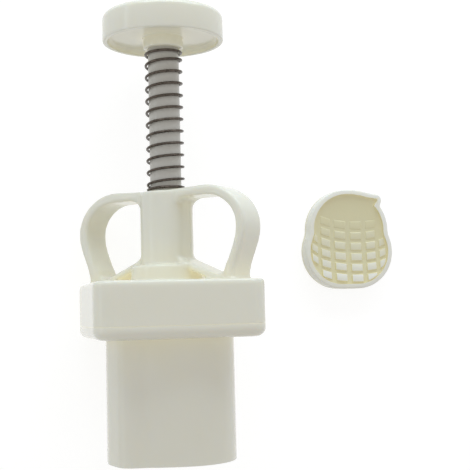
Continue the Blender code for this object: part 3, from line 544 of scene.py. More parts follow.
# %% [markdown]
# ## The plunger: rod, knob and the plate that carries the stamp
#
# These move together when the knob is pressed. The rod is a pole with a bore, made as one ring that grows
# down its outside and up its inside. The knob is the same kind of ring: it goes round the outer edge, across
# the shallow recess below, down the hub that takes the rod, and back up inside to the seat of the cap. A
# lathe would turn both, so a turned profile is closer to the real thing than joined cylinders.

# %% Rod
ROD_RADIUS = 0.0064
ROD_BOTTOM = -0.0121
ROD_TOP = 0.1127
ROD_CHAMFER = 0.0005
ROD_PILOT_RADIUS = 0.002
ROD_BORE = 0.00425
ROD_END_WALL = 0.013

rod = turned("plunger_rod_skin", [
    (ROD_PILOT_RADIUS, ROD_BOTTOM),
    (ROD_RADIUS - ROD_CHAMFER, ROD_BOTTOM),
    (ROD_RADIUS, ROD_BOTTOM + ROD_CHAMFER),
    (ROD_RADIUS, ROD_TOP - ROD_CHAMFER),
    (ROD_RADIUS - ROD_CHAMFER, ROD_TOP),
    (ROD_PILOT_RADIUS, ROD_TOP),
    (ROD_PILOT_RADIUS, ROD_TOP - ROD_END_WALL),
    (ROD_BORE, ROD_TOP - ROD_END_WALL - ROD_PILOT_RADIUS),
    (ROD_BORE, ROD_BOTTOM + ROD_END_WALL + ROD_PILOT_RADIUS),
    (ROD_PILOT_RADIUS, ROD_BOTTOM + ROD_END_WALL),
], closed=True)
finish_piece(rod, "plunger", "grey_plastic", "plunger_rod")

# %% Knob and its cap
KNOB_RADIUS = 0.025
KNOB_RIM = 0.108
KNOB_TOP = 0.1198
KNOB_EDGE = 0.0028
KNOB_RIM_EDGE = 0.0007
KNOB_DISH_EDGE = 0.0018
KNOB_WALL = 0.002
KNOB_FLOOR = KNOB_RIM + 0.0022
HUB_RADIUS = 0.0082
HUB_END = 0.1052
HUB_EDGE = 0.0006
SOCKET_RADIUS = 0.00655
SOCKET_END = 0.113
SOCKET_WEB = 0.0014
CAP_RADIUS = 0.015
CAP_THICKNESS = 0.0012
CAP_LEDGE = 0.0016
CAP_GAP = 0.0003
KNOB_STEPS = 128

inner = KNOB_RADIUS - KNOB_WALL
opening = CAP_RADIUS + CAP_GAP
ledge = KNOB_TOP - CAP_THICKNESS - CAP_GAP
knob = turned(
    "knob_skin",
    arc((KNOB_RADIUS - KNOB_EDGE, KNOB_TOP - KNOB_EDGE), KNOB_EDGE, 90, 0, 8)
    + arc((KNOB_RADIUS - KNOB_RIM_EDGE, KNOB_RIM + KNOB_RIM_EDGE), KNOB_RIM_EDGE, 0, -90, 4)
    + arc((inner + KNOB_RIM_EDGE / 2, KNOB_RIM + KNOB_RIM_EDGE / 2), KNOB_RIM_EDGE / 2, -90, -180, 3)
    + arc((inner - KNOB_DISH_EDGE, KNOB_FLOOR - KNOB_DISH_EDGE), KNOB_DISH_EDGE, 0, 90, 8)
    + arc((HUB_RADIUS + HUB_EDGE, KNOB_FLOOR - HUB_EDGE), HUB_EDGE, 90, 180, 4)
    + arc((HUB_RADIUS - HUB_EDGE, HUB_END + HUB_EDGE), HUB_EDGE, 0, -90, 4)
    + [(SOCKET_RADIUS, HUB_END), (SOCKET_RADIUS, SOCKET_END), (ROD_PILOT_RADIUS, SOCKET_END)]
    + [(ROD_PILOT_RADIUS, SOCKET_END + SOCKET_WEB), (HUB_RADIUS, SOCKET_END + SOCKET_WEB)]
    + [(HUB_RADIUS, KNOB_FLOOR + KNOB_WALL), (inner, KNOB_FLOOR + KNOB_WALL), (inner, ledge - CAP_LEDGE)]
    + [(opening - CAP_LEDGE, ledge - CAP_LEDGE), (opening - CAP_LEDGE, ledge), (opening, ledge)]
    + [(opening, KNOB_TOP - CAP_GAP), (opening + CAP_GAP, KNOB_TOP)],
    steps=KNOB_STEPS,
    closed=True,
)
finish_piece(knob, "plunger", "ivory_plastic", "knob")
cap = turned("knob_cap_skin", [
    (CAP_RADIUS, KNOB_TOP - CAP_THICKNESS), (CAP_RADIUS, KNOB_TOP - CAP_GAP), (CAP_RADIUS - CAP_GAP, KNOB_TOP)
])
finish_piece(cap, "plunger", "ivory_plastic", "knob_cap")

# %% Stamp carrier
CARRIER_TOP = -0.0104
CARRIER_BOTTOM = -0.0154
CARRIER_SOCKET_DEPTH = 0.002
PEG_REACH = 0.012
PEG_RADIUS = 0.0028
PEG_HEIGHT = 0.003

carrier = peanut_slab("stamp_carrier_skin", 0, CARRIER_BOTTOM, CARRIER_TOP, in_barrel=True)
for across in (-PEG_REACH, PEG_REACH):
    peg = turned("peg", [
        (PEG_RADIUS - EDGE_BEVEL, CARRIER_BOTTOM - PEG_HEIGHT),
        (PEG_RADIUS, CARRIER_BOTTOM - PEG_HEIGHT + EDGE_BEVEL),
        (PEG_RADIUS, CARRIER_BOTTOM + PEG_HEIGHT / 2),
    ], steps=48)
    peg.location = (across, 0, 0)
    combine(carrier, "UNION", peg)
socket = turned("socket", [
    (ROD_PILOT_RADIUS, CARRIER_BOTTOM - COVER_WALL),
    (ROD_PILOT_RADIUS, CARRIER_TOP - CARRIER_SOCKET_DEPTH),
    (SOCKET_RADIUS, CARRIER_TOP - CARRIER_SOCKET_DEPTH),
    (SOCKET_RADIUS, CARRIER_TOP + COVER_WALL),
])
combine(carrier, "DIFFERENCE", socket)
finish_piece(carrier, "plunger", "ivory_plastic", "stamp_carrier")

# %% [markdown]
# ## Screws and washer
#
# A pan-head screw is a turned head and shank with a cross cut into the head. One function makes them all,
# because they differ only in their sizes. Their threads are hidden in the plastic, so the shanks are plain.

# %% Pan-head screws
SEAT_GAP = 0.0003
HEAD_ROUNDING = 0.45
TIP_SHARE = 0.7
TIP_TAPER = 0.6
CROSS_LENGTH = 1.2
CROSS_WIDTH = 0.28
CROSS_DEPTH = 0.55
CROWN_STEPS = 6


def pan_screw(name, seat, side, sizes, place=(0, 0)):
    """Screw whose head bears at a height, its shank on the side given by +1 or -1."""
    shank_radius, length, head_radius, head_height = sizes
    under = seat - side * SEAT_GAP
    over = under - side * head_height
    rounding = head_height * HEAD_ROUNDING
    crown = []
    for step in range(CROWN_STEPS + 1):
        angle = math.pi / 2 * step / CROWN_STEPS
        crown.append((
            head_radius - rounding * (1 - math.cos(angle)),
            over + side * rounding * (1 - math.sin(angle)),
        ))
    screw = turned(name, [
        (shank_radius * TIP_SHARE, under + side * length),
        (shank_radius, under + side * (length - shank_radius * TIP_TAPER)),
        (shank_radius, under),
        (head_radius, under),
    ] + crown, steps=48)
    for turn in (0, math.pi / 2):
        bpy.ops.mesh.primitive_cube_add(
            size=1, location=(0, 0, over), rotation=(0, 0, turn),
            scale=(head_radius * CROSS_LENGTH, head_radius * CROSS_WIDTH, head_height * 2 * CROSS_DEPTH),
        )
        slot = bpy.context.object
        combine(screw, "DIFFERENCE", slot)
    screw.location = (*place, 0)
    return screw


# %% All screws and the washer, each screw by its shank's radius and length and its head's radius and height
BARREL_SCREW = (0.0014, 0.0115, 0.0026, 0.0019)
ROD_SCREW = (0.0017, 0.0125, 0.00375, 0.002)
WASHER_RADIUS = 0.00525
WASHER_TOP = CARRIER_BOTTOM - SEAT_GAP
WASHER_BOTTOM = WASHER_TOP - 0.0008

number = 0
for across in (-POST_REACH, POST_REACH):
    for back in (-POST_REACH, POST_REACH):
        number += 1
        screw = pan_screw(f"barrel_screw_{number}_skin", SCREW_HEAD_SEAT, 1, BARREL_SCREW, (across, back))
        finish_piece(screw, "mould", "screw_steel", f"barrel_screw_{number}")
carrier_screw = pan_screw("carrier_screw_skin", WASHER_BOTTOM, 1, ROD_SCREW)
finish_piece(carrier_screw, "plunger", "screw_steel", "carrier_screw")
knob_screw = pan_screw("knob_screw_skin", SOCKET_END + SOCKET_WEB, -1, ROD_SCREW)
finish_piece(knob_screw, "plunger", "screw_steel", "knob_screw")
washer = turned("carrier_washer_skin", [
    (WASHER_RADIUS, WASHER_TOP),
    (WASHER_RADIUS, WASHER_BOTTOM),
    (ROD_PILOT_RADIUS, WASHER_BOTTOM),
    (ROD_PILOT_RADIUS, WASHER_TOP),
], closed=True)
finish_piece(washer, "plunger", "screw_steel", "carrier_washer")

# %% [markdown]
# ## The return spring
#
# A coil is one curve whose points climb round the rod: close turns at both ends, open turns between. The
# curve gets a round section and becomes a mesh. A Screw modifier could wind a ring of wire, but only with one
# pitch all the way. Pressing the knob squeezes the spring, but here it is a fixed mesh that stays with the
# mould.

# %% Winding the spring
WIRE_RADIUS = 0.00055
COIL_RADIUS = 0.00735
OPEN_TURNS = 11
CLOSED_TURNS = 1
CLOSED_PITCH = 0.00165
SPRING_LEAD = 0.00165
POINTS_PER_TURN = 28
WIRE_START = math.radians(137)

spring_low = NECK_TOP + SEAT_GAP
spring_high = HUB_END - SEAT_GAP
all_turns = OPEN_TURNS + 2 * CLOSED_TURNS
open_rise = spring_high - spring_low - 2 * SPRING_LEAD - 2 * CLOSED_TURNS * CLOSED_PITCH
open_pitch = open_rise / OPEN_TURNS
wire_points = []
height = spring_low + WIRE_RADIUS
for step in range(all_turns * POINTS_PER_TURN + 1):
    angle = WIRE_START + math.tau * step / POINTS_PER_TURN
    wire_points.append((COIL_RADIUS * math.cos(angle), COIL_RADIUS * math.sin(angle), height))
    turn_number = (step + 0.5) / POINTS_PER_TURN
    closed_turn = turn_number < CLOSED_TURNS or turn_number > all_turns - CLOSED_TURNS
    height += (CLOSED_PITCH if closed_turn else open_pitch) / POINTS_PER_TURN
stretch = (spring_high - WIRE_RADIUS - wire_points[0][2]) / (wire_points[-1][2] - wire_points[0][2])
bpy.ops.curve.primitive_nurbs_path_add()
spring = bpy.context.object
spring.name = "return_spring_skin"
coil = spring.data
coil.splines.clear()
wire = coil.splines.new("POLY")
wire.points.add(len(wire_points) - 1)
for target, (across, back, height) in zip(wire.points, wire_points):
    target.co = (across, back, wire_points[0][2] + (height - wire_points[0][2]) * stretch, 1)
coil.bevel_depth = WIRE_RADIUS
coil.bevel_resolution = 3
coil.use_fill_caps = True
select_only(spring)
bpy.ops.object.convert(target="MESH")
finish_piece(spring, "mould", "spring_steel", "return_spring")
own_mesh(spring)

# %% [markdown]
# ## The stamp plate
#
# The plate presses a peanut shell into the cake, so its face is a shallow bowl with a raised rim, and a net
# of raised blocks in curved rows. The bowl could be sunk with proportional editing, but its depth must be
# sure, so it is the peanut slab cut by a very large ball. Each block is a cube whose corners are put on the
# crossings of a curved net, a little drawn in at its crown, as a mould needs to let go of the dough.

# %% Bowl, rim and hollow back
STAMP_HEIGHT = 0.007
STAMP_SKIRT = 0.0016
STAMP_HOLLOW = 0.0037
STAMP_RIM = 0.0021
STAMP_EDGE = 0.0007
BOWL_EDGE_DEPTH = 0.001
BOWL_DEPTH = 0.0024
BOWL_REACH = 0.0205
BOWL_RISE = BOWL_DEPTH - BOWL_EDGE_DEPTH
BALL_RADIUS = (BOWL_REACH ** 2 + BOWL_RISE ** 2) / (2 * BOWL_RISE)
stamp_low, stamp_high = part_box("stamp_plate")

# %% Net of blocks
NET_ROWS = 6
NET_COLUMNS = 6
NET_PITCH = 0.00485
NET_START = -0.0204
NET_HALF_WIDTH = 0.0185
NET_BULGE = 0.5
NET_BOW = 0.0042
NET_LEAN = 0.0014
NET_MARGIN = 0.0027
NET_LEAST_INSET = 0.0029
BLOCK_SHARE = 0.78
BLOCK_TAPER = 0.84
BLOCK_HEIGHT = 0.001
BLOCK_FADE = 0.16
BLOCK_EDGE = 0.00025
BLOCK_ANGLE = math.radians(30)


def bowl_floor(across, back):
    """Height of the bowl's floor at a place."""
    drop = BALL_RADIUS - math.sqrt(BALL_RADIUS ** 2 - across ** 2 - back ** 2)
    return STAMP_HEIGHT - BOWL_DEPTH + drop


def net_point(row, column):
    """Place of a crossing in the curved net."""
    share = 2 * column / NET_COLUMNS - 1
    swell = NET_BULGE * math.sin(share * math.pi / 2) + (1 - NET_BULGE) * share
    up = NET_START + row * NET_PITCH + NET_BOW * share * share - NET_LEAN * share
    return Vector((swell * NET_HALF_WIDTH, up))


def net_block(row, column):
    """Raised block between four crossings, or nothing where it would reach the rim."""
    corners = [net_point(row, column), net_point(row, column + 1)]
    corners += [net_point(row + 1, column + 1), net_point(row + 1, column)]
    centre = sum(corners, Vector((0, 0))) / 4
    if peanut_distance(centre) > -NET_LEAST_INSET:
        return None
    height = BLOCK_HEIGHT * (1 - row * BLOCK_FADE)
    bpy.ops.mesh.primitive_cube_add(size=1)
    block = bpy.context.object
    for vertex in block.data.vertices:
        left, near = vertex.co.x < 0, vertex.co.y < 0
        corner = corners[0 if left and near else 1 if near else 3 if left else 2]
        crown = vertex.co.z > 0
        place = centre + (corner - centre) * BLOCK_SHARE * (BLOCK_TAPER if crown else 1)
        level = bowl_floor(*place) + (height if crown else -height / 2)
        vertex.co = (*place, level)
    apply_modifier(block, "BEVEL", width=BLOCK_EDGE, segments=2, limit_method="ANGLE", angle_limit=BLOCK_ANGLE)
    return block


# %% Cutting the bowl and the hollow back, and setting the blocks in
stamp = peanut_slab("stamp_plate_skin", 0, 0, STAMP_HEIGHT)
round_rim(stamp, STAMP_HEIGHT, STAMP_EDGE, steps=3)
combine(stamp, "DIFFERENCE", peanut_slab("stamp_hollow", -STAMP_SKIRT, -STAMP_HOLLOW, STAMP_HOLLOW))
bowl = peanut_slab("bowl", -STAMP_RIM, STAMP_HOLLOW, STAMP_HEIGHT + BOWL_DEPTH)
bpy.ops.mesh.primitive_uv_sphere_add(
    segments=128, ring_count=192, radius=BALL_RADIUS, location=(0, 0, STAMP_HEIGHT - BOWL_DEPTH + BALL_RADIUS)
)
combine(bowl, "INTERSECT", bpy.context.object)
combine(stamp, "DIFFERENCE", bowl)
blocks = [net_block(row, column) for row in range(NET_ROWS) for column in range(NET_COLUMNS)]
blocks = [block for block in blocks if block]
select_only(*blocks)
bpy.ops.object.join()
net = bpy.context.object
combine(net, "INTERSECT", peanut_slab("net_limit", -NET_MARGIN, 0, STAMP_HEIGHT + BOWL_DEPTH))
combine(stamp, "UNION", net)
print(len(blocks), "blocks in the net")

# %% [markdown]
# Where the plate is thin, light shines through it and it looks yellower than its rim and the blocks' crowns.
# That light is painted: each corner of the mesh gets a mark, one on the bowl's floor and nought at the height
# of a block's crown, and the material of the plate paints a yellower colour where the mark is high.

# %% Marking the bowl's floor for its painted light, and the sockets for the carrier's pegs
SLEEVE_GAP = 0.0003
SLEEVE_WALL = 0.0014
SLEEVE_TOP = STAMP_HOLLOW + 0.0004
BELOW_FLOOR = -0.1
DISH_ALLOWANCE = 0.0001

light_through_mark = stamp.data.attributes.new("light_through_mark", "FLOAT", "POINT")
for vertex, mark in zip(stamp.data.vertices, light_through_mark.data):
    above = (vertex.co.z - bowl_floor(vertex.co.x, vertex.co.y)) / BLOCK_HEIGHT
    in_dish = above > BELOW_FLOOR and peanut_distance(vertex.co.xy) < DISH_ALLOWANCE - STAMP_RIM
    mark.value = max(1 - above, 0) if in_dish else 0
bore = PEG_RADIUS + SLEEVE_GAP
outside = bore + SLEEVE_WALL
for back in (-PEG_REACH, PEG_REACH):
    profile = [(bore, 0), (outside, 0), (outside, SLEEVE_TOP), (bore, SLEEVE_TOP)]
    sleeve = turned("sleeve", profile, steps=48, closed=True)
    sleeve.location = (0, back, 0)
    combine(stamp, "UNION", sleeve)
stamp_size = Vector(stamp.bound_box[6]) - Vector(stamp.bound_box[0])
stamp_shift = (stamp_low + stamp_high) / 2 - (Vector(stamp.bound_box[6]) + Vector(stamp.bound_box[0])) / 2
print("stamp plate in mm:", [round(side * 1000, 1) for side in stamp_size])
finish_piece(stamp, "stamp", "ivory_plastic", "stamp_plate", matrix=Matrix.Translation(stamp_shift))

# %% [markdown]
# ## Materials
#
# Nearly all of the mould is one glossy ivory plastic that lets a little light in, and the rod is a duller
# grey one. Both have the same faint mottle, finger smudges and ripple, and both get painted shade: a darker,
# yellower colour in closed-in places, with a faint painted glow there. So these are made once, as a group of
# nodes that gives out a colour with the painted shade in it, a roughness, a height and the painted glow, and
# each plastic sets its own values.

# %% Node helpers
def add_node(tree, kind, **settings):
    """New node in a tree, with its settings."""
    node = tree.nodes.new(kind)
    for setting, value in settings.items():
        setattr(node, setting, value)
    return node


def new_group(name, inputs, outputs):
    """Empty node group with named sockets."""
    group = bpy.data.node_groups.new(name, "ShaderNodeTree")
    for label, kind, default in inputs:
        socket = group.interface.new_socket(label, in_out="INPUT", socket_type=kind)
        socket.default_value = default
    for label, kind in outputs:
        group.interface.new_socket(label, in_out="OUTPUT", socket_type=kind)
    return group, group.nodes.new("NodeGroupInput"), group.nodes.new("NodeGroupOutput")


# %% Moulded plastic skin, a group that the plastics share, with painted shade in closed-in places
CLOSED_IN = 0.35
CLOSED_IN_PAINTED_SHADE = 0.85
OPEN_PAINTED_SHADE = 0.1
MOTTLE_SHARE = 0.3
SMUDGE_SCALE = 140
RIPPLE_SCALE = 260

skin, skin_in, skin_out = new_group(
    "Moulded skin",
    [
        ("Colour", "NodeSocketColor", (0.8, 0.8, 0.7, 1)),
        ("Painted shade and glow colour", "NodeSocketColor", (0.7, 0.65, 0.5, 1)),
        ("Mottle scale", "NodeSocketFloat", 60),
        ("Gloss", "NodeSocketFloat", 0.25),
        ("Gloss change", "NodeSocketFloat", 0.12),
        ("Depth reach", "NodeSocketFloat", 0.02),
        ("Painted glow", "NodeSocketFloat", 0.2),
        ("Painted light through", "NodeSocketFloat", 0),
    ],
    [
        ("Colour", "NodeSocketColor"),
        ("Roughness", "NodeSocketFloat"),
        ("Height", "NodeSocketFloat"),
        ("Glow", "NodeSocketColor"),
    ],
)
place = add_node(skin, "ShaderNodeTexCoord")
mottle = add_node(skin, "ShaderNodeTexNoise")
mottle.inputs["Detail"].default_value = 3
skin.links.new(place.outputs["Object"], mottle.inputs["Vector"])
skin.links.new(skin_in.outputs["Mottle scale"], mottle.inputs["Scale"])
# Painted shade: the less open a place is, by ambient occlusion, the more its colour is mixed towards the
# darker, yellower painted shade colour.
shade = add_node(skin, "ShaderNodeAmbientOcclusion", samples=8)
skin.links.new(skin_in.outputs["Depth reach"], shade.inputs["Distance"])
depth = add_node(skin, "ShaderNodeMapRange")
depth.inputs["From Min"].default_value = CLOSED_IN
depth.inputs["From Max"].default_value = 1
depth.inputs["To Min"].default_value = CLOSED_IN_PAINTED_SHADE
depth.inputs["To Max"].default_value = OPEN_PAINTED_SHADE
skin.links.new(shade.outputs["AO"], depth.inputs["Value"])
blend = add_node(skin, "ShaderNodeMath", operation="MULTIPLY_ADD")
blend.inputs[1].default_value = MOTTLE_SHARE
skin.links.new(mottle.outputs["Fac"], blend.inputs[0])
skin.links.new(depth.outputs["Result"], blend.inputs[2])
# Painted light through a thin wall, read from the mark on the mesh, adds to the share of the painted shade and
# glow colour.
share = add_node(skin, "ShaderNodeMath", operation="ADD", use_clamp=True)
skin.links.new(blend.outputs["Value"], share.inputs[0])
skin.links.new(skin_in.outputs["Painted light through"], share.inputs[1])
tone = add_node(skin, "ShaderNodeMix", data_type="RGBA")
skin.links.new(share.outputs["Value"], tone.inputs["Factor"])
skin.links.new(skin_in.outputs["Colour"], tone.inputs[6])
skin.links.new(skin_in.outputs["Painted shade and glow colour"], tone.inputs[7])
skin.links.new(tone.outputs[2], skin_out.inputs["Colour"])

# %% A painted glow in the closed-in places, standing in for light through the plastic, and the surface's unevenness
dimness = add_node(skin, "ShaderNodeMath", operation="SUBTRACT", use_clamp=True)
dimness.inputs[0].default_value = 1
skin.links.new(shade.outputs["AO"], dimness.inputs[1])
painted_glow_share = add_node(skin, "ShaderNodeMath", operation="MULTIPLY")
skin.links.new(dimness.outputs["Value"], painted_glow_share.inputs[0])
skin.links.new(skin_in.outputs["Painted glow"], painted_glow_share.inputs[1])
glow_tint = add_node(skin, "ShaderNodeVectorMath", operation="SCALE")
skin.links.new(skin_in.outputs["Painted shade and glow colour"], glow_tint.inputs[0])
skin.links.new(painted_glow_share.outputs["Value"], glow_tint.inputs["Scale"])
skin.links.new(glow_tint.outputs["Vector"], skin_out.inputs["Glow"])
smudge = add_node(skin, "ShaderNodeTexNoise")
smudge.inputs["Scale"].default_value = SMUDGE_SCALE
smudge.inputs["Detail"].default_value = 5
skin.links.new(place.outputs["Object"], smudge.inputs["Vector"])
gloss = add_node(skin, "ShaderNodeMath", operation="MULTIPLY_ADD")
skin.links.new(smudge.outputs["Fac"], gloss.inputs[0])
skin.links.new(skin_in.outputs["Gloss change"], gloss.inputs[1])
skin.links.new(skin_in.outputs["Gloss"], gloss.inputs[2])
skin.links.new(gloss.outputs["Value"], skin_out.inputs["Roughness"])
ripple = add_node(skin, "ShaderNodeTexNoise")
ripple.inputs["Scale"].default_value = RIPPLE_SCALE
ripple.inputs["Detail"].default_value = 2
skin.links.new(place.outputs["Object"], ripple.inputs["Vector"])
skin.links.new(ripple.outputs["Fac"], skin_out.inputs["Height"])
print("the plastics' group has", len(skin.nodes), "nodes")

# %% A plastic with its own values
RIPPLE_DEPTH = 0.0002
LIGHT_REACH = 0.004
LIGHT_REACH_TINT = (1.0, 0.9, 0.7)
PLASTIC_IOR = 1.5


def plastic(name, colour, painted_shade_glow_colour, gloss, bump, depth_reach, painted_glow, softness):
    """Material with the shared skin; softness is the share of light that goes in and comes out again."""
    material = bpy.data.materials.new(name)
    material.use_nodes = True
    tree = material.node_tree
    shader = tree.nodes["Principled BSDF"]
    group = add_node(tree, "ShaderNodeGroup", node_tree=skin, name="Skin")
    group.inputs["Colour"].default_value = (*colour, 1)
    group.inputs["Painted shade and glow colour"].default_value = (*painted_shade_glow_colour, 1)
    group.inputs["Gloss"].default_value = gloss
    group.inputs["Depth reach"].default_value = depth_reach
    group.inputs["Painted glow"].default_value = painted_glow
    tree.links.new(group.outputs["Colour"], shader.inputs["Base Color"])
    tree.links.new(group.outputs["Roughness"], shader.inputs["Roughness"])
    # Painted glow: the skin's glow goes to the emission, so closed-in places glow a little though no lamp
    # lights them.
    tree.links.new(group.outputs["Glow"], shader.inputs["Emission Color"])
    relief = add_node(tree, "ShaderNodeBump")
    relief.inputs["Strength"].default_value = bump
    relief.inputs["Distance"].default_value = RIPPLE_DEPTH
    tree.links.new(group.outputs["Height"], relief.inputs["Height"])
    tree.links.new(relief.outputs["Normal"], shader.inputs["Normal"])
    shader.inputs["Emission Strength"].default_value = 1
    shader.inputs["Subsurface Weight"].default_value = softness
    shader.inputs["Subsurface Radius"].default_value = LIGHT_REACH_TINT
    shader.inputs["Subsurface Scale"].default_value = LIGHT_REACH
    shader.inputs["IOR"].default_value = PLASTIC_IOR
    return material


def give_material(piece, material):
    """Gives a piece one material in place of what it had."""
    piece.data.materials.clear()
    piece.data.materials.append(material)


# %% Ivory plastic, a lighter copy of it with painted light for the stamp plate, and grey plastic
ivory = plastic(
    "Ivory moulded plastic", colour=(0.83, 0.83, 0.77), painted_shade_glow_colour=(0.80, 0.765, 0.60),
    gloss=0.06, bump=0.08, depth_reach=0.02, painted_glow=0.22, softness=0.35,
)
# A lighter copy of the ivory for the stamp plate: its rim and the blocks' crowns are painted brighter, as light
# that catches them all round would make them, and its floor gets the painted light through it.
painted_light_ivory = plastic(
    "Ivory plastic with painted light", colour=(0.93, 0.94, 0.93), painted_shade_glow_colour=(0.80, 0.75, 0.50),
    gloss=0.06, bump=0.08, depth_reach=0.004, painted_glow=0.15, softness=0.25,
)
grey = plastic(
    "Grey moulded plastic", colour=(0.62, 0.61, 0.58), painted_shade_glow_colour=(0.52, 0.50, 0.45),
    gloss=0.2, bump=0.12, depth_reach=0.02, painted_glow=0.05, softness=0,
)
light_through_attribute = add_node(painted_light_ivory.node_tree, "ShaderNodeAttribute", attribute_name="light_through_mark")
light_through_skin = painted_light_ivory.node_tree.nodes["Skin"]
painted_light_ivory.node_tree.links.new(light_through_attribute.outputs["Fac"], light_through_skin.inputs["Painted light through"])
for piece in (handle_body, barrel, knob, cap, carrier):
    give_material(piece, ivory)
give_material(stamp, painted_light_ivory)
give_material(rod, grey)

# %% [markdown]
# ## Steel
#
# The spring is dark drawn wire and the screws are brighter and plated. Neither is one even grey: fine noise
# moves both the colour and the roughness, so a highlight breaks up along the wire as it does on real steel.

# %% Steel wire and plated screws
DULL_SHARE = 0.55
DULL_BELOW = 0.35
BRIGHT_ABOVE = 0.65
ROUGHNESS_RANGE = 0.2


def steel(name, colour, roughness, streak_scale):
    """Bare metal with dull and bright streaks."""
    material = bpy.data.materials.new(name)
    material.use_nodes = True
    tree = material.node_tree
    shader = tree.nodes["Principled BSDF"]
    shader.inputs["Metallic"].default_value = 1
    where = add_node(tree, "ShaderNodeTexCoord")
    streak = add_node(tree, "ShaderNodeTexNoise")
    streak.inputs["Scale"].default_value = streak_scale
    streak.inputs["Detail"].default_value = 4
    tree.links.new(where.outputs["Object"], streak.inputs["Vector"])
    ramp = add_node(tree, "ShaderNodeValToRGB")
    dull, bright = ramp.color_ramp.elements
    dull.position = DULL_BELOW
    dull.color = (*[value * DULL_SHARE for value in colour], 1)
    bright.position = BRIGHT_ABOVE
    bright.color = (*colour, 1)
    tree.links.new(streak.outputs["Fac"], ramp.inputs["Fac"])
    tree.links.new(ramp.outputs["Color"], shader.inputs["Base Color"])
    spread = add_node(tree, "ShaderNodeMapRange")
    spread.inputs["To Min"].default_value = roughness
    spread.inputs["To Max"].default_value = roughness + ROUGHNESS_RANGE
    tree.links.new(streak.outputs["Fac"], spread.inputs["Value"])
    tree.links.new(spread.outputs["Result"], shader.inputs["Roughness"])
    return material


spring_steel = steel("Drawn spring wire", (0.11, 0.09, 0.075), 0.2, 900)
screw_steel = steel("Plated screws", (0.62, 0.61, 0.58), 0.25, 500)
give_material(spring, spring_steel)
for piece in bpy.data.objects:
    if piece.name.endswith("_skin") and ("screw" in piece.name or "washer" in piece.name):
        give_material(piece, screw_steel)

# %% [markdown]
# ## Floor, light and camera
#
# The mould lies on a white table under plain soft light. A table that is lit up to pure white would need so
# much light that the ivory burns out, so the camera, and the gloss of the pieces, see a floor that glows a
# little and still takes the shadow, while the light that the floor throws back is that of a plain white one.

# %% What the camera, mirrors and glass see
def seen_directly(tree):
    """One for rays from the camera, a gloss or glass, and nought for the light that a surface gets."""
    rays = add_node(tree, "ShaderNodeLightPath")
    total = rays.outputs["Is Camera Ray"]
    for kind in ("Is Glossy Ray", "Is Transmission Ray"):
        both = add_node(tree, "ShaderNodeMath", operation="ADD", use_clamp=True)
        tree.links.new(total, both.inputs[0])
        tree.links.new(rays.outputs[kind], both.inputs[1])
        total = both.outputs["Value"]
    return total


# %% Floor
FLOOR_SIZE = 3
FLOOR_DROP = 0.0002
FLOOR_GLOW = 0.80
SHADOWED_PAINT = (0.32, 0.32, 0.32, 1)
WHITE_PAINT = (0.8, 0.8, 0.78, 1)

bpy.ops.mesh.primitive_plane_add(size=FLOOR_SIZE, location=(0, 0, -FLOOR_DROP))
floor = bpy.context.object
floor.name = "floor"
floor_paint = bpy.data.materials.new("White table")
floor_paint.use_nodes = True
tree = floor_paint.node_tree
tree.nodes.clear()
output = add_node(tree, "ShaderNodeOutputMaterial")
glow = add_node(tree, "ShaderNodeEmission")
glow.inputs["Strength"].default_value = FLOOR_GLOW
paint = add_node(tree, "ShaderNodeBsdfDiffuse")
paint.inputs["Color"].default_value = SHADOWED_PAINT
plain = add_node(tree, "ShaderNodeBsdfDiffuse")
plain.inputs["Color"].default_value = WHITE_PAINT
both = add_node(tree, "ShaderNodeAddShader")
tree.links.new(glow.outputs[0], both.inputs[0])
tree.links.new(paint.outputs[0], both.inputs[1])
choose = add_node(tree, "ShaderNodeMixShader")
tree.links.new(seen_directly(tree), choose.inputs["Fac"])
tree.links.new(plain.outputs[0], choose.inputs[1])
tree.links.new(both.outputs[0], choose.inputs[2])
tree.links.new(choose.outputs[0], output.inputs["Surface"])
floor.data.materials.append(floor_paint)

# %% World: warm light on the pieces, and plain white where it is seen
WORLD_TINT = (1, 0.98, 0.95, 1)
WORLD_LIGHT = 0.58

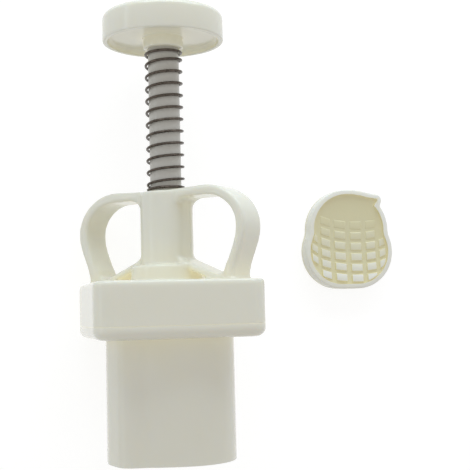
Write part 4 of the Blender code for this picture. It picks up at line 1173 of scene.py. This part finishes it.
world = bpy.data.worlds.new("Studio")
bpy.context.scene.world = world
world.use_nodes = True
sky = world.node_tree
background = sky.nodes["Background"]
white = seen_directly(sky)
tint = add_node(sky, "ShaderNodeMix", data_type="RGBA")
tint.inputs[6].default_value = WORLD_TINT
tint.inputs[7].default_value = (1, 1, 1, 1)
sky.links.new(white, tint.inputs["Factor"])
sky.links.new(tint.outputs[2], background.inputs["Color"])
strength = add_node(sky, "ShaderNodeMapRange")
strength.inputs["To Min"].default_value = WORLD_LIGHT
strength.inputs["To Max"].default_value = 1
sky.links.new(white, strength.inputs["Value"])
sky.links.new(strength.outputs["Result"], background.inputs["Strength"])


# %% [markdown]
# Two lamps stand for windows. The wide one beyond the knob brightens all that faces it and leaves the barrel in
# the flange's shadow, and the narrow one at the left draws a thin line of light along the neck. Both are a
# little bluer than the world, as daylight is beside lamplight.

# %% Lamps
def soft_lamp(name, place, size, power, colour):
    """Flat lamp that looks at the mould."""
    bpy.ops.object.light_add(type="AREA", location=place)
    lamp = bpy.context.object
    lamp.name = name
    lamp.data.shape = "RECTANGLE"
    lamp.data.size, lamp.data.size_y = size
    lamp.data.energy = power
    lamp.data.color = colour
    lamp.rotation_euler = Vector(place).to_track_quat("Z", "Y").to_euler()
    print(name, "of", power, "W")


COOL = (0.80, 0.93, 1.0)
soft_lamp("window_beyond", (0.05, 0.78, 0.27), (1.2, 0.45), 4.6, COOL)
soft_lamp("strip_left", (-0.6, 0.05, 0.12), (0.9, 0.05), 0.25, COOL)

# %% [markdown]
# The camera's place, aim, roll and lens were found from the photograph, in the upright frame of the mould, so
# the same matrix that lays the pieces down takes the camera with it.

# %% Camera
CAMERA_PLACE = Vector((-0.07342, -0.404165, -0.003886))
CAMERA_TARGET = Vector((0.028797, 0, 0.027627))
CAMERA_ROLL = math.radians(1.474)
FOCAL_PIXELS = 1002.2
PICTURE_WIDTH = 470
SENSOR_WIDTH = 36

bpy.ops.object.camera_add(location=CAMERA_PLACE)
camera = bpy.context.object
forward = (CAMERA_TARGET - CAMERA_PLACE).normalized()
right = Quaternion(forward, CAMERA_ROLL) @ forward.cross(Vector((0, 0, 1))).normalized()
above = right.cross(forward)
aim = Matrix((right, above, -forward)).transposed().to_4x4()
camera.matrix_world = LAID_DOWN @ Matrix.Translation(CAMERA_PLACE) @ aim
camera.data.sensor_width = SENSOR_WIDTH
camera.data.lens = SENSOR_WIDTH * FOCAL_PIXELS / PICTURE_WIDTH
camera.data.clip_start = 0.01
bpy.context.scene.camera = camera
bpy.context.scene.view_settings.view_transform = "Standard"
print(f"lens of {camera.data.lens:.1f} mm")
